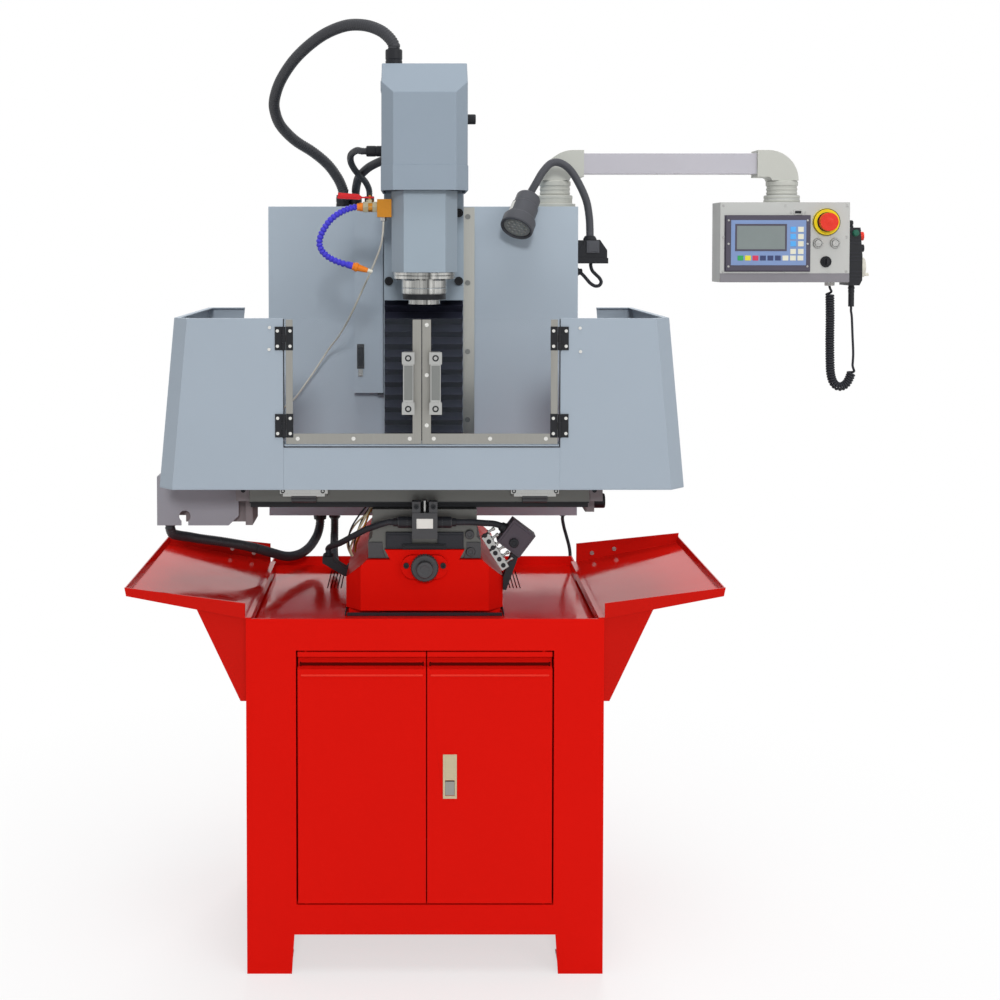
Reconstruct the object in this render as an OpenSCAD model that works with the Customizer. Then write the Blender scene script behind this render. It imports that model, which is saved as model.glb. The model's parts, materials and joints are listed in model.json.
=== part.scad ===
// Small CNC machining centre: a bed-type mill with a splash guard, an electrics
// box and an operator panel on an arm, all on a steel stand with chip trays.
// Millimetres. The origin is on the floor under the middle of the stand,
// +X to the right, +Y to the back, +Z up.

/* [Stand] */
// Width of the stand
stand_w = 660; // [640:10:720]
// Depth of the stand
stand_d = 520; // [510:10:600]
// Height of the stand to the rim of its chip tray
stand_h = 665; // [600:5:740]
// Thickness of the stand's sheet steel
stand_sheet = 3; // [2:0.5:4]
// Height of the gap under the stand
foot_h = 74; // [50:2:100]
// Width of a leg at its top
leg_top_w = 88; // [84:1:100]
// Width of a leg at the floor
leg_foot_w = 83; // [82:1:100]
// Depth of the chip tray below the rim
chip_tray_drop = 20; // [14:1:30]
// Diameter of the anchor hole in each foot
anchor_d = 13; // [9:1:18]
// Distance of each anchor hole from the stand's outer faces
anchor_inset = 40; // [34:1:41]
// Thickness of the foot plates
foot_plate_t = 6; // [4:1:10]
// Number of drain slots on each side of the chip tray
drain_count = 5; // [2:1:7]
// Length of a drain slot
drain_l = 160; // [80:10:200]

/* [Cabinet doors] */
// Width of the door opening
cabinet_open_w = 476; // [420:2:480]
// Height of the opening's lower edge above the floor
cabinet_open_low = 130; // [100:2:160]
// Height of the door opening
cabinet_open_h = 476; // [420:2:490]
// Gap round each cabinet door
cabinet_gap = 3; // [2:0.5:4]
// Depth of a cabinet door
cabinet_door_d = 18; // [16:1:24]
// Thickness of the doors' sheet
cabinet_sheet = 2; // [1.5:0.25:2.5]
// Depth of the folded finger grip
grip_in = 14; // [11:0.5:15]
// Diameter of the door's pivot pins
cabinet_pin_d = 6; // [5:0.5:7]
// Height of the lock plate's lower edge above the floor
lock_low = 330; // [250:5:420]
// Height of the lock plate
lock_h = 83; // [70:1:100]
// Width of the lock plate
lock_w = 26; // [22:1:32]

/* [Side trays] */
// Reach of a side tray beyond the stand
tray_reach = 220; // [150:5:260]
// Rise of a side tray towards its outer edge
tray_rise = 42; // [20:2:60]
// Length of a side tray from front to back
tray_l = 455; // [400:5:500]
// Thickness of the tray sheet
tray_sheet = 2.5; // [2:0.25:3]
// Height of the front wall at the stand
tray_front_h = 29; // [20:1:40]
// Height of the back wall at the stand
tray_back_h = 42; // [25:1:60]
// Height of the outer rim
tray_rim_h = 15; // [8:1:25]
// Drop of the gussets below the stand's rim
gusset_drop = 155; // [100:5:200]
// Reach of the gussets along the tray
gusset_reach = 92; // [60:2:120]

/* [Machine base] */
// Width of the base casting
base_w = 302; // [280:2:310]
// Place of the base's front face
base_front = -165; // [-180:1:-160]
// Length of the base casting
base_l = 430; // [425:1:440]
// Height of the levelling pads
pad_h = 10; // [6:1:16]
// Height of the base's upright sides
base_side_h = 59; // [50:1:70]
// Height of the base's sloping shoulders
base_slope_h = 39; // [30:1:50]
// Width of the base between its shoulders
shoulder_w = 220; // [216:1:240]
// Front corner chamfer of the base
base_chamfer = 29; // [15:1:34]
// Height of the Y dovetail way
way_h = 19; // [15:1:24]
// Width of the Y dovetail at its top
way_top_w = 152; // [140:1:160]
// Undercut of the dovetail on each side
way_undercut = 10; // [7:0.5:12]
// Half width of the screw trench in the base
trench_half = 31; // [30.5:0.5:36]
// Diameter of the X and Y ball screws
feed_screw_d = 16; // [14:0.5:18]
// Diameter of the screws' end journals
journal_d = 12; // [10:0.5:13]

/* [Saddle and table] */
// Width of the saddle
saddle_w = 200; // [190:1:204]
// Length of the saddle in Y
saddle_l = 230; // [215:1:232]
// Height of the saddle
saddle_h = 95; // [90:1:105]
// Length of the table
table_l = 650; // [600:5:680]
// Width of the table
table_w = 200; // [190:1:204]
// Height of the table
table_h = 72; // [66:1:80]
// Height of the table's lower skirt
skirt_h = 12; // [11:0.5:14]
// Sideways place of the table's middle
table_x = -10; // [-20:1:20]
// Width of a T-slot
tee_w = 12; // [8:1:14]
// Spacing of the T-slots
tee_pitch = 62; // [50:1:66]
// Height of the X dovetail way
x_way_h = 18; // [15:1:19]
// Width of the X dovetail at its top
x_way_w = 106; // [96:1:110]

/* [Splash guard] */
// Sideways place of the guard's middle
guard_x = -6; // [-15:1:15]
// Half width of the guard's front at the bottom
guard_half = 458; // [440:2:480]
// Width of the guard's corner strips
guard_corner = 28; // [15:1:40]
// Inward lean of the guard's sides over their height
guard_lean = 29; // [10:1:40]
// Height of the guard
guard_h = 313; // [280:1:340]
// Thickness of the guard's sheet
guard_sheet = 2; // [1.5:0.25:3]
// Width of the guard's folded top hem
guard_hem = 11; // [6:1:16]
// Place of the guard's back returns
guard_back = 200; // [180:1:205]
// Width of the back returns
guard_return = 78; // [50:1:90]
// Half width of the guard's door opening
guard_open_half = 252; // [230:1:260]
// Height of the sill below the doors
sill_h = 81; // [60:1:100]
// Drop of the guard's floor below the table top
guard_drop = 15; // [10:1:20]

/* [Guard doors] */
// Thickness of the clear panes
pane_t = 4; // [3:0.5:6]
// Width of the stainless edge strips
strip_w = 16; // [12:0.5:18]
// Thickness of the edge strips
strip_t = 1.2; // [0.8:0.1:1.4]
// Height of the door hinges
hinge_h = 43; // [36:1:50]
// Width of one hinge leaf
leaf_w = 16.5; // [14:0.5:20]
// Diameter of the hinge pins
hinge_pin_d = 3; // [2.5:0.1:3.5]
// Length of a door handle
handle_l = 113; // [90:1:130]
// Width of a door handle
handle_w = 17; // [12:0.5:18]
// Stand-off of a door handle
handle_off = 30; // [24:1:40]

/* [Column and electrics box] */
// Width of the column
column_w = 168; // [160:1:172]
// Depth of the column behind its ways
column_d = 115; // [112:1:115]
// Height of the column
column_h = 728; // [720:1:760]
// Height that the Z dovetail way stands proud
z_way_h = 20; // [16:1:22]
// Diameter of the Z ball screw
z_screw_d = 20; // [16:0.5:22]
// Width of the electrics box
box_w = 682; // [640:2:700]
// Depth of the electrics box
box_d = 190; // [185:1:240]
// Depth that the electrics box hangs below the column's foot
box_hang = 18; // [10:1:40]
// Drop of the box's top below the column's top
box_drop = 62; // [50:1:80]
// Width of the side hatch
hatch_w = 63; // [50:1:70]
// Height of the side hatch
hatch_h = 402; // [350:1:410]
// Depth of the side hatch
hatch_d = 29; // [24:0.5:30]
// Number of folds in the way cover
bellows_folds = 14; // [8:1:18]

/* [Head] */
// Place of the spindle axis from front to back
spindle_y = -55; // [-58:1:-50]
// Height of the head's slide plate
slide_h = 261; // [240:1:290]
// Width of the head's slide plate
slide_w = 164; // [150:1:166]
// Depth of the head's slide plate
slide_d = 80; // [70:1:84]
// Half width of the spindle housing
housing_half = 64; // [58:1:66]
// Height of the spindle housing
housing_h = 158; // [140:1:170]
// Height of the housing's underside above the slide plate's
housing_lift = 61; // [56:1:70]
// Half width of the motor cover
cover_half = 83; // [78:1:86]
// Height of the motor cover
cover_h = 249; // [220:1:270]
// Thickness of the motor cover
cover_t = 3; // [2:0.5:4]
// Diameter of the bearing flange under the head
flange_d = 120; // [112:1:124]
// Diameter of the bearing nose
nose_d = 88; // [82:1:94]
// Diameter of the spindle's end
spindle_d = 62; // [56:1:66]
// Large diameter of the spindle taper
taper_d = 31.75; // [28:0.25:34]

/* [Arm and panel] */
// Sideways place of the arm's post
arm_x = 297; // [285:1:300]
// Distance of the arm's post behind the box front
arm_back = 75; // [70:1:95]
// Sideways distance from the post to the panel's neck
arm_reach = 511; // [480:1:560]
// Size of the arm's square tube
arm_tube_w = 45; // [38:1:50]
// Size of the cast elbows
elbow_w = 60; // [56:1:64]
// Diameter of the swivel spigots
spigot_d = 44; // [38:1:46]
// Width of the operator panel
panel_w = 288; // [276:2:300]
// Height of the operator panel
panel_h = 178; // [174:1:190]
// Depth of the operator panel
panel_d = 82; // [70:1:88]
// Diameter of the emergency stop's head
stop_d = 40; // [34:1:46]
// Diameter of the emergency stop's yellow plate
stop_plate_d = 60; // [52:1:66]
// Travel of the emergency stop
stop_travel = 6; // [4:0.5:7]
// Diameter of a push button's plunger
button_d = 14; // [11:0.5:16]
// Diameter of the hand dial
dial_d = 44; // [38:1:48]

/* [Fits] */
// Radial clearance of pins, journals and spigots
run_fit = 0.05; // [0.03:0.01:0.09]
// Clearance between sliding faces
slide_gap = 0.3; // [0.2:0.05:0.5]

/* [Hidden] */
$fn = 48;

// Colours
red = "#d8150f";
blue_grey = "#a3afba";
casting_grey = "#c3c4bb";
machined = "#8d8d88";
steel = "#b9bab8";
black = "#26262a";
hose_black = "#3a3c41";

// Stand
front_y = -stand_d / 2;
back_y = stand_d / 2;
side_x = stand_w / 2;
chip_tray_z = stand_h - chip_tray_drop;

// Cabinet doors
open_half = cabinet_open_w / 2;
open_high = cabinet_open_low + cabinet_open_h;
door_low = cabinet_open_low + cabinet_gap;
door_high = open_high - cabinet_gap;
door_edge = open_half - cabinet_gap;
door_split = 3;
return_t = 2;
return_d = cabinet_door_d + 4;
cabinet_pin_in = 15;
cabinet_pin_y = front_y + cabinet_sheet + cabinet_pin_d / 2 + 2;
cabinet_pin_l = cabinet_gap + cabinet_sheet + 3;
grip_lip = 9;
grip_gap = 15;
grip_slope = 8;
lock_x = 46;
paddle_w = lock_w - 9;
paddle_h = 26;
paddle_pin_d = 3;
paddle_low = lock_low + 6;
paddle_pin_z = paddle_low + paddle_h - 5;
paddle_pin_y = front_y + 3;

// Base and ways
base_z = chip_tray_z + pad_h;
base_clear = 1;
base_back = base_front + base_l;
way_z = base_z + base_side_h + base_slope_h;
way_top = way_z + way_h;
y_screw_z = way_top - 30;
motor_w = 60;
motor_l = 80;
trench_z = y_screw_z - motor_w / 2;
trench_front = base_front + 25;
column_back = base_back;
column_front = column_back - column_d;
y_motor_y = column_front + 20;
bearing_t = 14;

// Saddle and table
saddle_z = way_z + slide_gap;
saddle_top = saddle_z + saddle_h;
saddle_front = spindle_y - 100;
saddle_back = saddle_front + saddle_l;
table_z = saddle_top + slide_gap;
table_top = table_z + table_h;
slab_z = table_z + skirt_h;
table_left = table_x - table_l / 2;
table_right = table_x + table_l / 2;
table_front = spindle_y - table_w / 2;
table_back = spindle_y + table_w / 2;
x_screw_z = saddle_top - 2;
x_trench_half = 16;
nut_half = 25;
x_undercut = 8;
bracket_t = 26;
end_left = table_left - bracket_t;
end_right = table_right + bracket_t;
x_motor_w = 70;
x_cover_front = spindle_y - 55;
x_cover_back = spindle_y + 55;
x_cover_left = end_left - 159;
x_cover_drop = 96;

// Splash guard
guard_z = table_top - guard_drop;
guard_top = guard_z + guard_h;
guard_side = guard_half + guard_corner;
guard_front = front_y;
low_wall_y = table_back + 15;
low_wall_h = 44;
sill_z = guard_z + sill_h;
pane_low = sill_z + 2;
door_clear = 1.5;
barrel_r = hinge_pin_d / 2 + 2;
leaf_t = 2;
hinge_y = guard_front - barrel_r;
hinge_zs = [pane_low + 12, guard_top - hinge_h - 15];
handle_z = pane_low + 57;
bottom_strip_h = 19;

// Column, head and box
column_top = way_top + column_h;
rail_front = column_front - z_way_h;
rail_half = 60;
rail_undercut = 8;
z_trench_half = 22;
z_screw_y = column_front + 15;
z_trench_low = way_top + 113;
top_web = 20;
slide_z = column_top - slide_h;
slide_front = column_front - slide_d;
slide_back = column_front - slide_gap;
housing_z = slide_z + housing_lift;
housing_top = housing_z + housing_h;
cover_top = housing_top + cover_h;
housing_front = spindle_y - 70;
cover_front = spindle_y - 90;
cover_back = slide_front - 10;
hip_h = 63;
hip_d = 72;
flange_t = 13;
nose_h = 29;
nose_z = housing_z - flange_t - nose_h;
ring_h = 12;
spindle_end_h = 9;
shaft_d = spindle_d - 8;
bellows_front = rail_front - 30;
bellows_back = rail_front - 2;
bellows_low = saddle_top + 20;
bellows_high = slide_z;
bellows_w = slide_w;
z_motor_w = 86;
z_motor_h = 100;
box_top = column_top - box_drop;
box_low = way_top - box_hang;
box_sheet = 2.5;
box_cover_t = 2;
box_front = column_back;
box_back = box_front + box_d;
box_half = box_w / 2;
hatch_right = -column_w / 2 - 4;
hatch_high = box_top - 6;
hatch_low = hatch_high - hatch_h;
hatch_front = box_front - hatch_d - 1;
hatch_sheet = 2;
hatch_pin_d = 5;
hatch_pin_x = hatch_right - 5;
hatch_pin_y = hatch_front + 5;
lug_t = 3.5;
latch_d = 14;
latch_x = hatch_right - hatch_w + 14;
latch_z = hatch_low + 80;

// Arm and panel
arm_y = box_front + arm_back;
post_h = 27;
ring_d = 66;
collar_d = 78;
arm_low = box_top + post_h + slide_gap;
bend_r = 8;
bend_z = arm_low + 32;
tube_z = bend_z + bend_r + elbow_w / 2;
neck_x = arm_x + arm_reach;
spigot_l = 18;
neck_h = 17;
panel_top = arm_low - neck_h;
panel_low = panel_top - panel_h;
panel_right = neck_x + 139;
panel_left = panel_right - panel_w;
panel_back = arm_y + 32;
panel_front = panel_back - panel_d;
controller_w = 186;
controller_h = 121;
controller_t = 5;
controller_x = panel_left + 12;
controller_z = panel_low + 26;
stop_x = panel_right - 53;
stop_z = panel_top - 44;
stop_plate_t = 6;
stop_shaft_d = 22;
button_z = panel_top - 91;
button_xs = [stop_x - 18, stop_x + 20];
button_travel = 3;
key_z = panel_low + 46;
key_d = 14;
control_depth = 16;

// Pendant on the panel's right side
pendant_w = 31;
pendant_y = panel_front + 40;
pendant_depth = 66;
pendant_high = panel_top - 56;
pendant_low = panel_low - 7;
pendant_face = panel_right + pendant_w;
dial_z = pendant_low + 40;
dial_t = 11;
dial_shaft_d = 8;
pendant_stop_d = 20;
pendant_stop_z = pendant_high - 19;
pendant_knob_d = 17;
pendant_knob_z = pendant_high - 46;

// Coolant valve on the head's left side
valve_y = spindle_y - 25;
valve_z = housing_top - 31;
block_w = 28;
block_h = 35;
block_d = 30;
valve_l = 28;
valve_d = 20;
stem_d = 6;
stem_x = -housing_half - block_w - valve_l / 2;
lever_z = valve_z + 17;
lever_t = 3;
lever_l = 64;

// Lamp on the box's right side
lamp_y = box_front + 25;
lamp_base_l = 44;
lamp_base_z = box_top - 125;
lamp_base_h = 51;
lamp_back = [232, 236, box_top + 24];
lamp_axis = [-36, -58, -80];
lamp_l = 98;

// Heights of the fittings that the cords end in
cover_gland_z = cover_top + 30;
lead_gland_z = housing_top + 83;
z_motor_gland_z = column_top + 35;
box_gland_z = box_top + 28;
under_gland_z = box_low - 20;
tube_fit_z = box_top - 458;
motor_gland_z = x_screw_z - 46.3;
saddle_gland_z = saddle_top - 21.3;
bracket_gland_z = way_top - 30;
panel_gland_z = panel_low - 8.3;
pendant_gland_z = pendant_low - 48.3;
switch_w = 52;
switch_tilt = 37;
switch_at = [176, -132, way_top + 18];
switch_face = [-cos(switch_tilt), 0, sin(switch_tilt)];
switch_entry = switch_at + switch_w / 2 * switch_face;

// Cord routes, chosen by eye along the real ones: each is stretched in height between its two
// fittings, and leaves them straight, in the given directions
up = [0, 0, 1];
lead_in = 5;
function spanned(p, from, to) = let (e = len(p) - 1, k = (to - from) / (p[e][2] - p[0][2]))
    [for (q = p) [q[0], q[1], from + k * (q[2] - p[0][2])]];
function led(p, a, b) = let (e = len(p) - 1) concat(
    a == undef ? [p[0]] : [for (i = [0:2]) p[0] + i * lead_in * a],
    [for (i = [1:e - 1]) p[i]],
    b == undef ? [p[e]] : [for (i = [2:-1:0]) p[e] + i * lead_in * b]
);
spindle_route = led(spanned([
    [-60, -40, 1737], [-68, -38, 1760], [-84, -31, 1775], [-110, -15, 1788],
    [-140, 5, 1794], [-168, 28, 1793], [-204, 60, 1783], [-241, 95, 1763], [-275, 130, 1736],
    [-304, 165, 1700], [-320, 200, 1665], [-321, 226, 1640], [-311, 252, 1613],
    [-283, 282, 1584], [-245, 307, 1560], [-213, 326, 1533], [-191, 338, 1502], [-180, 345, 1466]
], cover_gland_z, box_gland_z), up, up);
head_route = led(spanned([
    [-115, 0, 1541], [-136, 10, 1543], [-149, 50, 1537], [-152, 110, 1526],
    [-147, 180, 1514], [-138, 240, 1504], [-128, 285, 1493], [-122, 308, 1481], [-120, 315, 1462]
], lead_gland_z, box_gland_z - 4), [-1, 0, 0], up);
z_motor_route = led(spanned([
    [-60, 165, 1535], [-82, 173, 1535], [-112, 206, 1524], [-130, 240, 1513],
    [-143, 285, 1502], [-149, 325, 1488], [-151, 342, 1481], [-152, 350, 1464]
], z_motor_gland_z, box_gland_z - 2), [-1, 0, 0], up);
table_route = led(spanned([
    [-233, 330, 734], [-235, 320, 711], [-240, 298, 698], [-252, 250, 686], [-270, 195, 683],
    [-294, 150, 689], [-322, 110, 706], [-352, 80, 722], [-382, 58, 734], [-420, 38, 745],
    [-456, 20, 754], [-478, 2, 762], [-493, -23, 770], [-502, -42, 778], [end_left - 144, -50, 800]
], under_gland_z, motor_gland_z), -up, -up);
coolant_route = led(spanned([
    [-80, -72, 1407], [-82, -62, 1372], [-88, -42, 1345], [-107, -8, 1300],
    [-128, 32, 1256], [-153, 80, 1205], [-180, 160, 1160], [-205, 215, 1128], [-240, 236, 1075],
    [-281, 247, 1018], [-301, 251.5, 1001], [-308, 253, 980]
], valve_z - 20, tube_fit_z), -up, up);
left_lead_route = led(spanned([
    [-59, -175, 827], [-82, -173, 823], [-98, -165, 816], [-112, -155, 809], [-140, -130, 790],
    [-165, -100, 771], [-181, -76, 761], [-190, -60, 742]
], saddle_gland_z, bracket_gland_z), [-1, 0, 0], up);
right_lead_route = led(spanned([
    [59, -175, 827], [82, -173, 827], [98, -167, 825], [114, -158, 822], [133, -144, 818],
    switch_entry
], saddle_gland_z, switch_entry[2]), [1, 0, 0], switch_face);
pendant_route = led(spanned([
    [915, 330, 1262], [916, 330, 1240], [917, 330, 1190], [917, 330, 1140], [918, 330, 1090],
    [920, 330, 1062], [927, 330, 1042], [940, 330, 1034], [955, 330, 1041], [965, 330, 1062],
    [969, 330, 1085]
], panel_gland_z, panel_gland_z - 177), -up);
pendant_lead_route = led(spanned([
    [969, 330, 1085], [970, 330, 1110], [968, 330, 1150], [966, 330, 1190], [964, 330, 1215]
], panel_gland_z - 177, pendant_gland_z), undef, -up);
lamp_route = led(spanned([
    [370, 290, 1364], [370, 290, 1385], [368, 287, 1415], [361, 281, 1450], [345, 273, 1485],
    [323, 264, 1518], [300, 256, 1533], [280, 250, 1532], [261, 245, 1513], [247, 242, 1490],
    lamp_back
], lamp_base_z + lamp_base_h, lamp_back[2]), up, -lamp_axis / norm(lamp_axis));
hose_route = [
    [-120, 0], [-133, 0], [-147, -3], [-161, -9], [-174, -17], [-186, -28],
    [-195, -41], [-202, -55], [-205, -70], [-201, -84], [-191, -95], [-178, -103],
    [-163, -109], [-148, -113]
];

// Plain shapes
module block(low, high) { translate(low) cube(high - low); }

// Draws the outline in X and Z, from one Y to another
module along_y(from, to) { translate([0, to, 0]) rotate([90, 0, 0]) linear_extrude(to - from) children(); }

// Draws the outline in Y and Z, from one X to another
module along_x(from, to) { translate([from, 0, 0]) rotate([90, 0, 90]) linear_extrude(to - from) children(); }

module rod_x(d, from, to, y, z) { translate([from, y, z]) rotate([0, 90, 0]) cylinder(d = d, h = to - from); }
module rod_y(d, from, to, x, z) { translate([x, to, z]) rotate([90, 0, 0]) cylinder(d = d, h = to - from); }
module rod_z(d, from, to, x, y) { translate([x, y, from]) cylinder(d = d, h = to - from); }

// Folded sheet: a path's outline, offset to its left by the sheet's thickness
function unit(v) = v / norm(v);
function normal(p, i) = let (d = unit(p[i + 1] - p[i])) [-d[1], d[0]];
function mitre(p, i, t) =
    i == 0 ? p[0] + t * normal(p, 0)
    : i == len(p) - 1 ? p[i] + t * normal(p, i - 1)
    : let (a = normal(p, i - 1), b = normal(p, i)) p[i] + t * (a + b) / (1 + a * b);
function fold(p, t) = concat(p, [for (i = [len(p) - 1:-1:0]) mitre(p, i, t)]);
module folded(p, t) { polygon(fold(p, t)); }

// A solid between two outlines of as many points, one above the other
module loft(low, high, z0, z1) {
    n = len(low);
    polyhedron(
        concat([for (p = low) [p[0], p[1], z0]], [for (p = high) [p[0], p[1], z1]]),
        concat(
            [[for (i = [0:n - 1]) i]], [[for (i = [n - 1:-1:0]) n + i]],
            [for (i = [0:n - 1]) let (j = (i + 1) % n) [i, n + i, n + j, j]]
        )
    );
}

// Cords: a smooth curve through a route's points, swept as a tube of one diameter or a list of them
function between(a, b, c, d, t) =
    0.5 * (2 * b + (c - a) * t + (2 * a - 5 * b + 4 * c - d) * t * t + (3 * b - a - 3 * c + d) * t * t * t);
function smooth(p, n) = let (e = len(p) - 1) concat(
    [for (i = [0:e - 1], k = [0:n - 1])
        between(p[max(i - 1, 0)], p[i], p[i + 1], p[min(i + 2, e)], k / n)],
    [p[e]]
);
function heading(p, i) = unit(p[min(i + 1, len(p) - 1)] - p[max(i - 1, 0)]);
function ring(p, i, d, n, side) = let (t = heading(p, i), u = unit(cross(t, side)), v = cross(t, u))
    [for (k = [0:n - 1]) p[i] + d / 2 * (cos(360 * k / n) * u + sin(360 * k / n) * v)];
module tube(p, d, n = 10, side = [0, 1, 0]) {
    e = len(p) - 1;
    polyhedron(
        [for (i = [0:e]) each ring(p, i, is_list(d) ? d[i] : d, n, side)],
        concat(
            [[for (k = [0:n - 1]) k]], [[for (k = [n - 1:-1:0]) e * n + k]],
            [for (i = [0:e - 1], k = [0:n - 1]) let (m = (k + 1) % n)
                [i * n + k, (i + 1) * n + k, (i + 1) * n + m, i * n + m]]
        )
    );
}

// Gap between two legs, seen from the front or the side
module leg_gap(w) {
    polygon([
        [-w / 2 + leg_foot_w, -1], [w / 2 - leg_foot_w, -1],
        [w / 2 - leg_top_w, foot_h], [-w / 2 + leg_top_w, foot_h]
    ]);
}

// Stand: side and back walls, shelf and foot plates, welded into one
module stand_shell() {
    color(red) difference() {
        union() {
            difference() {
                block([-side_x, front_y + stand_sheet, 0], [side_x, back_y, stand_h]);
                block(
                    [-side_x + stand_sheet, front_y, -1],
                    [side_x - stand_sheet, back_y - stand_sheet, stand_h + 1]
                );
                along_x(-side_x - 1, side_x + 1) leg_gap(stand_d);
                along_y(back_y - stand_sheet - 1, back_y + 1) leg_gap(stand_w);
                block(
                    [-base_w / 2 - base_clear, back_y - stand_sheet - 1, chip_tray_z],
                    [base_w / 2 + base_clear, back_y + 1, stand_h + 1]
                );
            }
            block(
                [-side_x + stand_sheet, front_y + stand_sheet, foot_h],
                [side_x - stand_sheet, back_y - stand_sheet, foot_h + stand_sheet]
            );
            for (sx = [-1, 1], y = [front_y + stand_sheet, back_y - 2 * anchor_inset])
                block(
                    [min(sx * (side_x - 2 * anchor_inset), sx * side_x), y, 0],
                    [
                        max(sx * (side_x - 2 * anchor_inset), sx * side_x),
                        y + 2 * anchor_inset - (y < 0 ? stand_sheet : 0), foot_plate_t
                    ]
                );
        }
        for (sx = [-1, 1], sy = [-1, 1])
            rod_z(anchor_d, -1, foot_plate_t + 1, sx * (side_x - anchor_inset), sy * (back_y - anchor_inset));
    }
}

module cabinet_opening() {
    translate([-open_half, cabinet_open_low]) square([cabinet_open_w, cabinet_open_h]);
}

// Front of the stand, with the folded edge and pivot pins of its door opening
module stand_front() {
    color(red) {
        along_y(front_y, front_y + stand_sheet) difference() {
            translate([-side_x, 0]) square([stand_w, stand_h]);
            cabinet_opening();
            leg_gap(stand_w);
        }
        along_y(front_y + stand_sheet, front_y + return_d) difference() {
            translate([-open_half - return_t, cabinet_open_low - return_t])
                square([cabinet_open_w + 2 * return_t, cabinet_open_h + 2 * return_t]);
            cabinet_opening();
        }
        for (sx = [-1, 1]) {
            x = sx * (door_edge - cabinet_pin_in);
            rod_z(cabinet_pin_d, open_high - cabinet_pin_l, open_high + return_t, x, cabinet_pin_y);
            rod_z(cabinet_pin_d, cabinet_open_low - return_t, cabinet_open_low + cabinet_pin_l, x, cabinet_pin_y);
        }
    }
}

// Chip tray in the top of the stand, with drain slots beside the machine
module stand_tray() {
    color(red) difference() {
        block(
            [-side_x + stand_sheet, front_y + stand_sheet, chip_tray_z - stand_sheet],
            [side_x - stand_sheet, back_y - stand_sheet, chip_tray_z]
        );
        for (sx = [-1, 1], i = [0:drain_count - 1])
            translate([sx * (base_w / 2 + 20 + 7 * i) - 1.25, 50, chip_tray_z - stand_sheet - 1])
                cube([2.5, drain_l, stand_sheet + 2]);
    }
}

// Side tray on the right, with its two gussets: hooked over the stand's rim
function tray_under(x) = tray_rise * (x - 1) / (tray_reach - 1);
module gusset(y) {
    outer = [[11, -gusset_drop], [gusset_reach, tray_under(gusset_reach)]];
    along_y(y, y + tray_sheet) polygon(concat([[0, 0], [0, -gusset_drop]], outer, [[1, 0]]));
    along_y(y, y + 18) folded(outer, tray_sheet);
}
module side_tray() {
    sheet = [[-10, 0], [1, 0], [tray_reach, tray_rise], [tray_reach + 3, tray_rise + tray_rim_h]];
    tray_back = front_y + tray_l;
    translate([side_x, 0, stand_h]) color(red) {
        along_y(front_y, tray_back) folded(sheet, tray_sheet);
        block([-10, front_y + stand_sheet, -14], [-10 + tray_sheet, tray_back, 0]);
        for (wall = [[front_y, tray_front_h], [tray_back - tray_sheet, tray_back_h]])
            along_y(wall[0], wall[0] + tray_sheet) polygon([
                [1, 1], [tray_reach, tray_rise + 1], [tray_reach + 3, tray_rise + wall[1] * 0.55], [1, wall[1]]
            ]);
        gusset(front_y + 6);
        gusset(tray_back - 30);
    }
}
module tray_right() { side_tray(); }
module tray_left() { mirror([1, 0, 0]) side_tray(); }

// Cabinet door: a folded pan whose top edge makes the finger grip
door_profile = [
    [cabinet_door_d, door_low], [0, door_low], [0, door_high - grip_lip - grip_gap - grip_slope],
    [grip_in, door_high - grip_lip - grip_gap], [grip_in, door_high - grip_lip],
    [1, door_high - grip_lip], [1, door_high], [cabinet_door_d, door_high]
];
module cabinet_door(w) {
    difference() {
        union() {
            along_x(0, w) translate([front_y, 0]) folded(door_profile, -cabinet_sheet);
            for (x = [0, w - cabinet_sheet])
                along_x(x, x + cabinet_sheet) translate([front_y, 0]) polygon(door_profile);
        }
        for (z = [door_low - 1, door_high - cabinet_sheet - 1])
            rod_z(cabinet_pin_d + 2 * run_fit, z, z + cabinet_sheet + 2, cabinet_pin_in, cabinet_pin_y);
    }
}
module cabinet_door_left() {
    color(red) translate([-door_edge, 0, 0]) cabinet_door(door_edge + door_split - 1);
}

// The right door also carries the lock, with a pocket for its paddle
module cabinet_door_right() {
    pocket_w = paddle_w + 2 * slide_gap;
    color(red) {
        difference() {
            union() {
                translate([door_edge, 0, 0]) mirror([1, 0, 0]) cabinet_door(door_edge - door_split - 1);
                block(
                    [lock_x - lock_w / 2, front_y - 1, lock_low],
                    [lock_x + lock_w / 2, front_y + 14, lock_low + lock_h]
                );
            }
            block(
                [lock_x - pocket_w / 2, front_y - 2, paddle_low - slide_gap],
                [lock_x + pocket_w / 2, front_y + 9, paddle_low + paddle_h + 2]
            );
        }
        rod_x(paddle_pin_d, lock_x - paddle_w / 2 - 1, lock_x + paddle_w / 2 + 1, paddle_pin_y, paddle_pin_z);
    }
}
module lock_paddle() {
    color(steel) difference() {
        block(
            [lock_x - paddle_w / 2, front_y - 0.8, paddle_low],
            [lock_x + paddle_w / 2, front_y + 5.5, paddle_low + paddle_h]
        );
        rod_x(paddle_pin_d + 2 * run_fit, lock_x - paddle_w, lock_x + paddle_w, paddle_pin_y, paddle_pin_z);
    }
}

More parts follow.
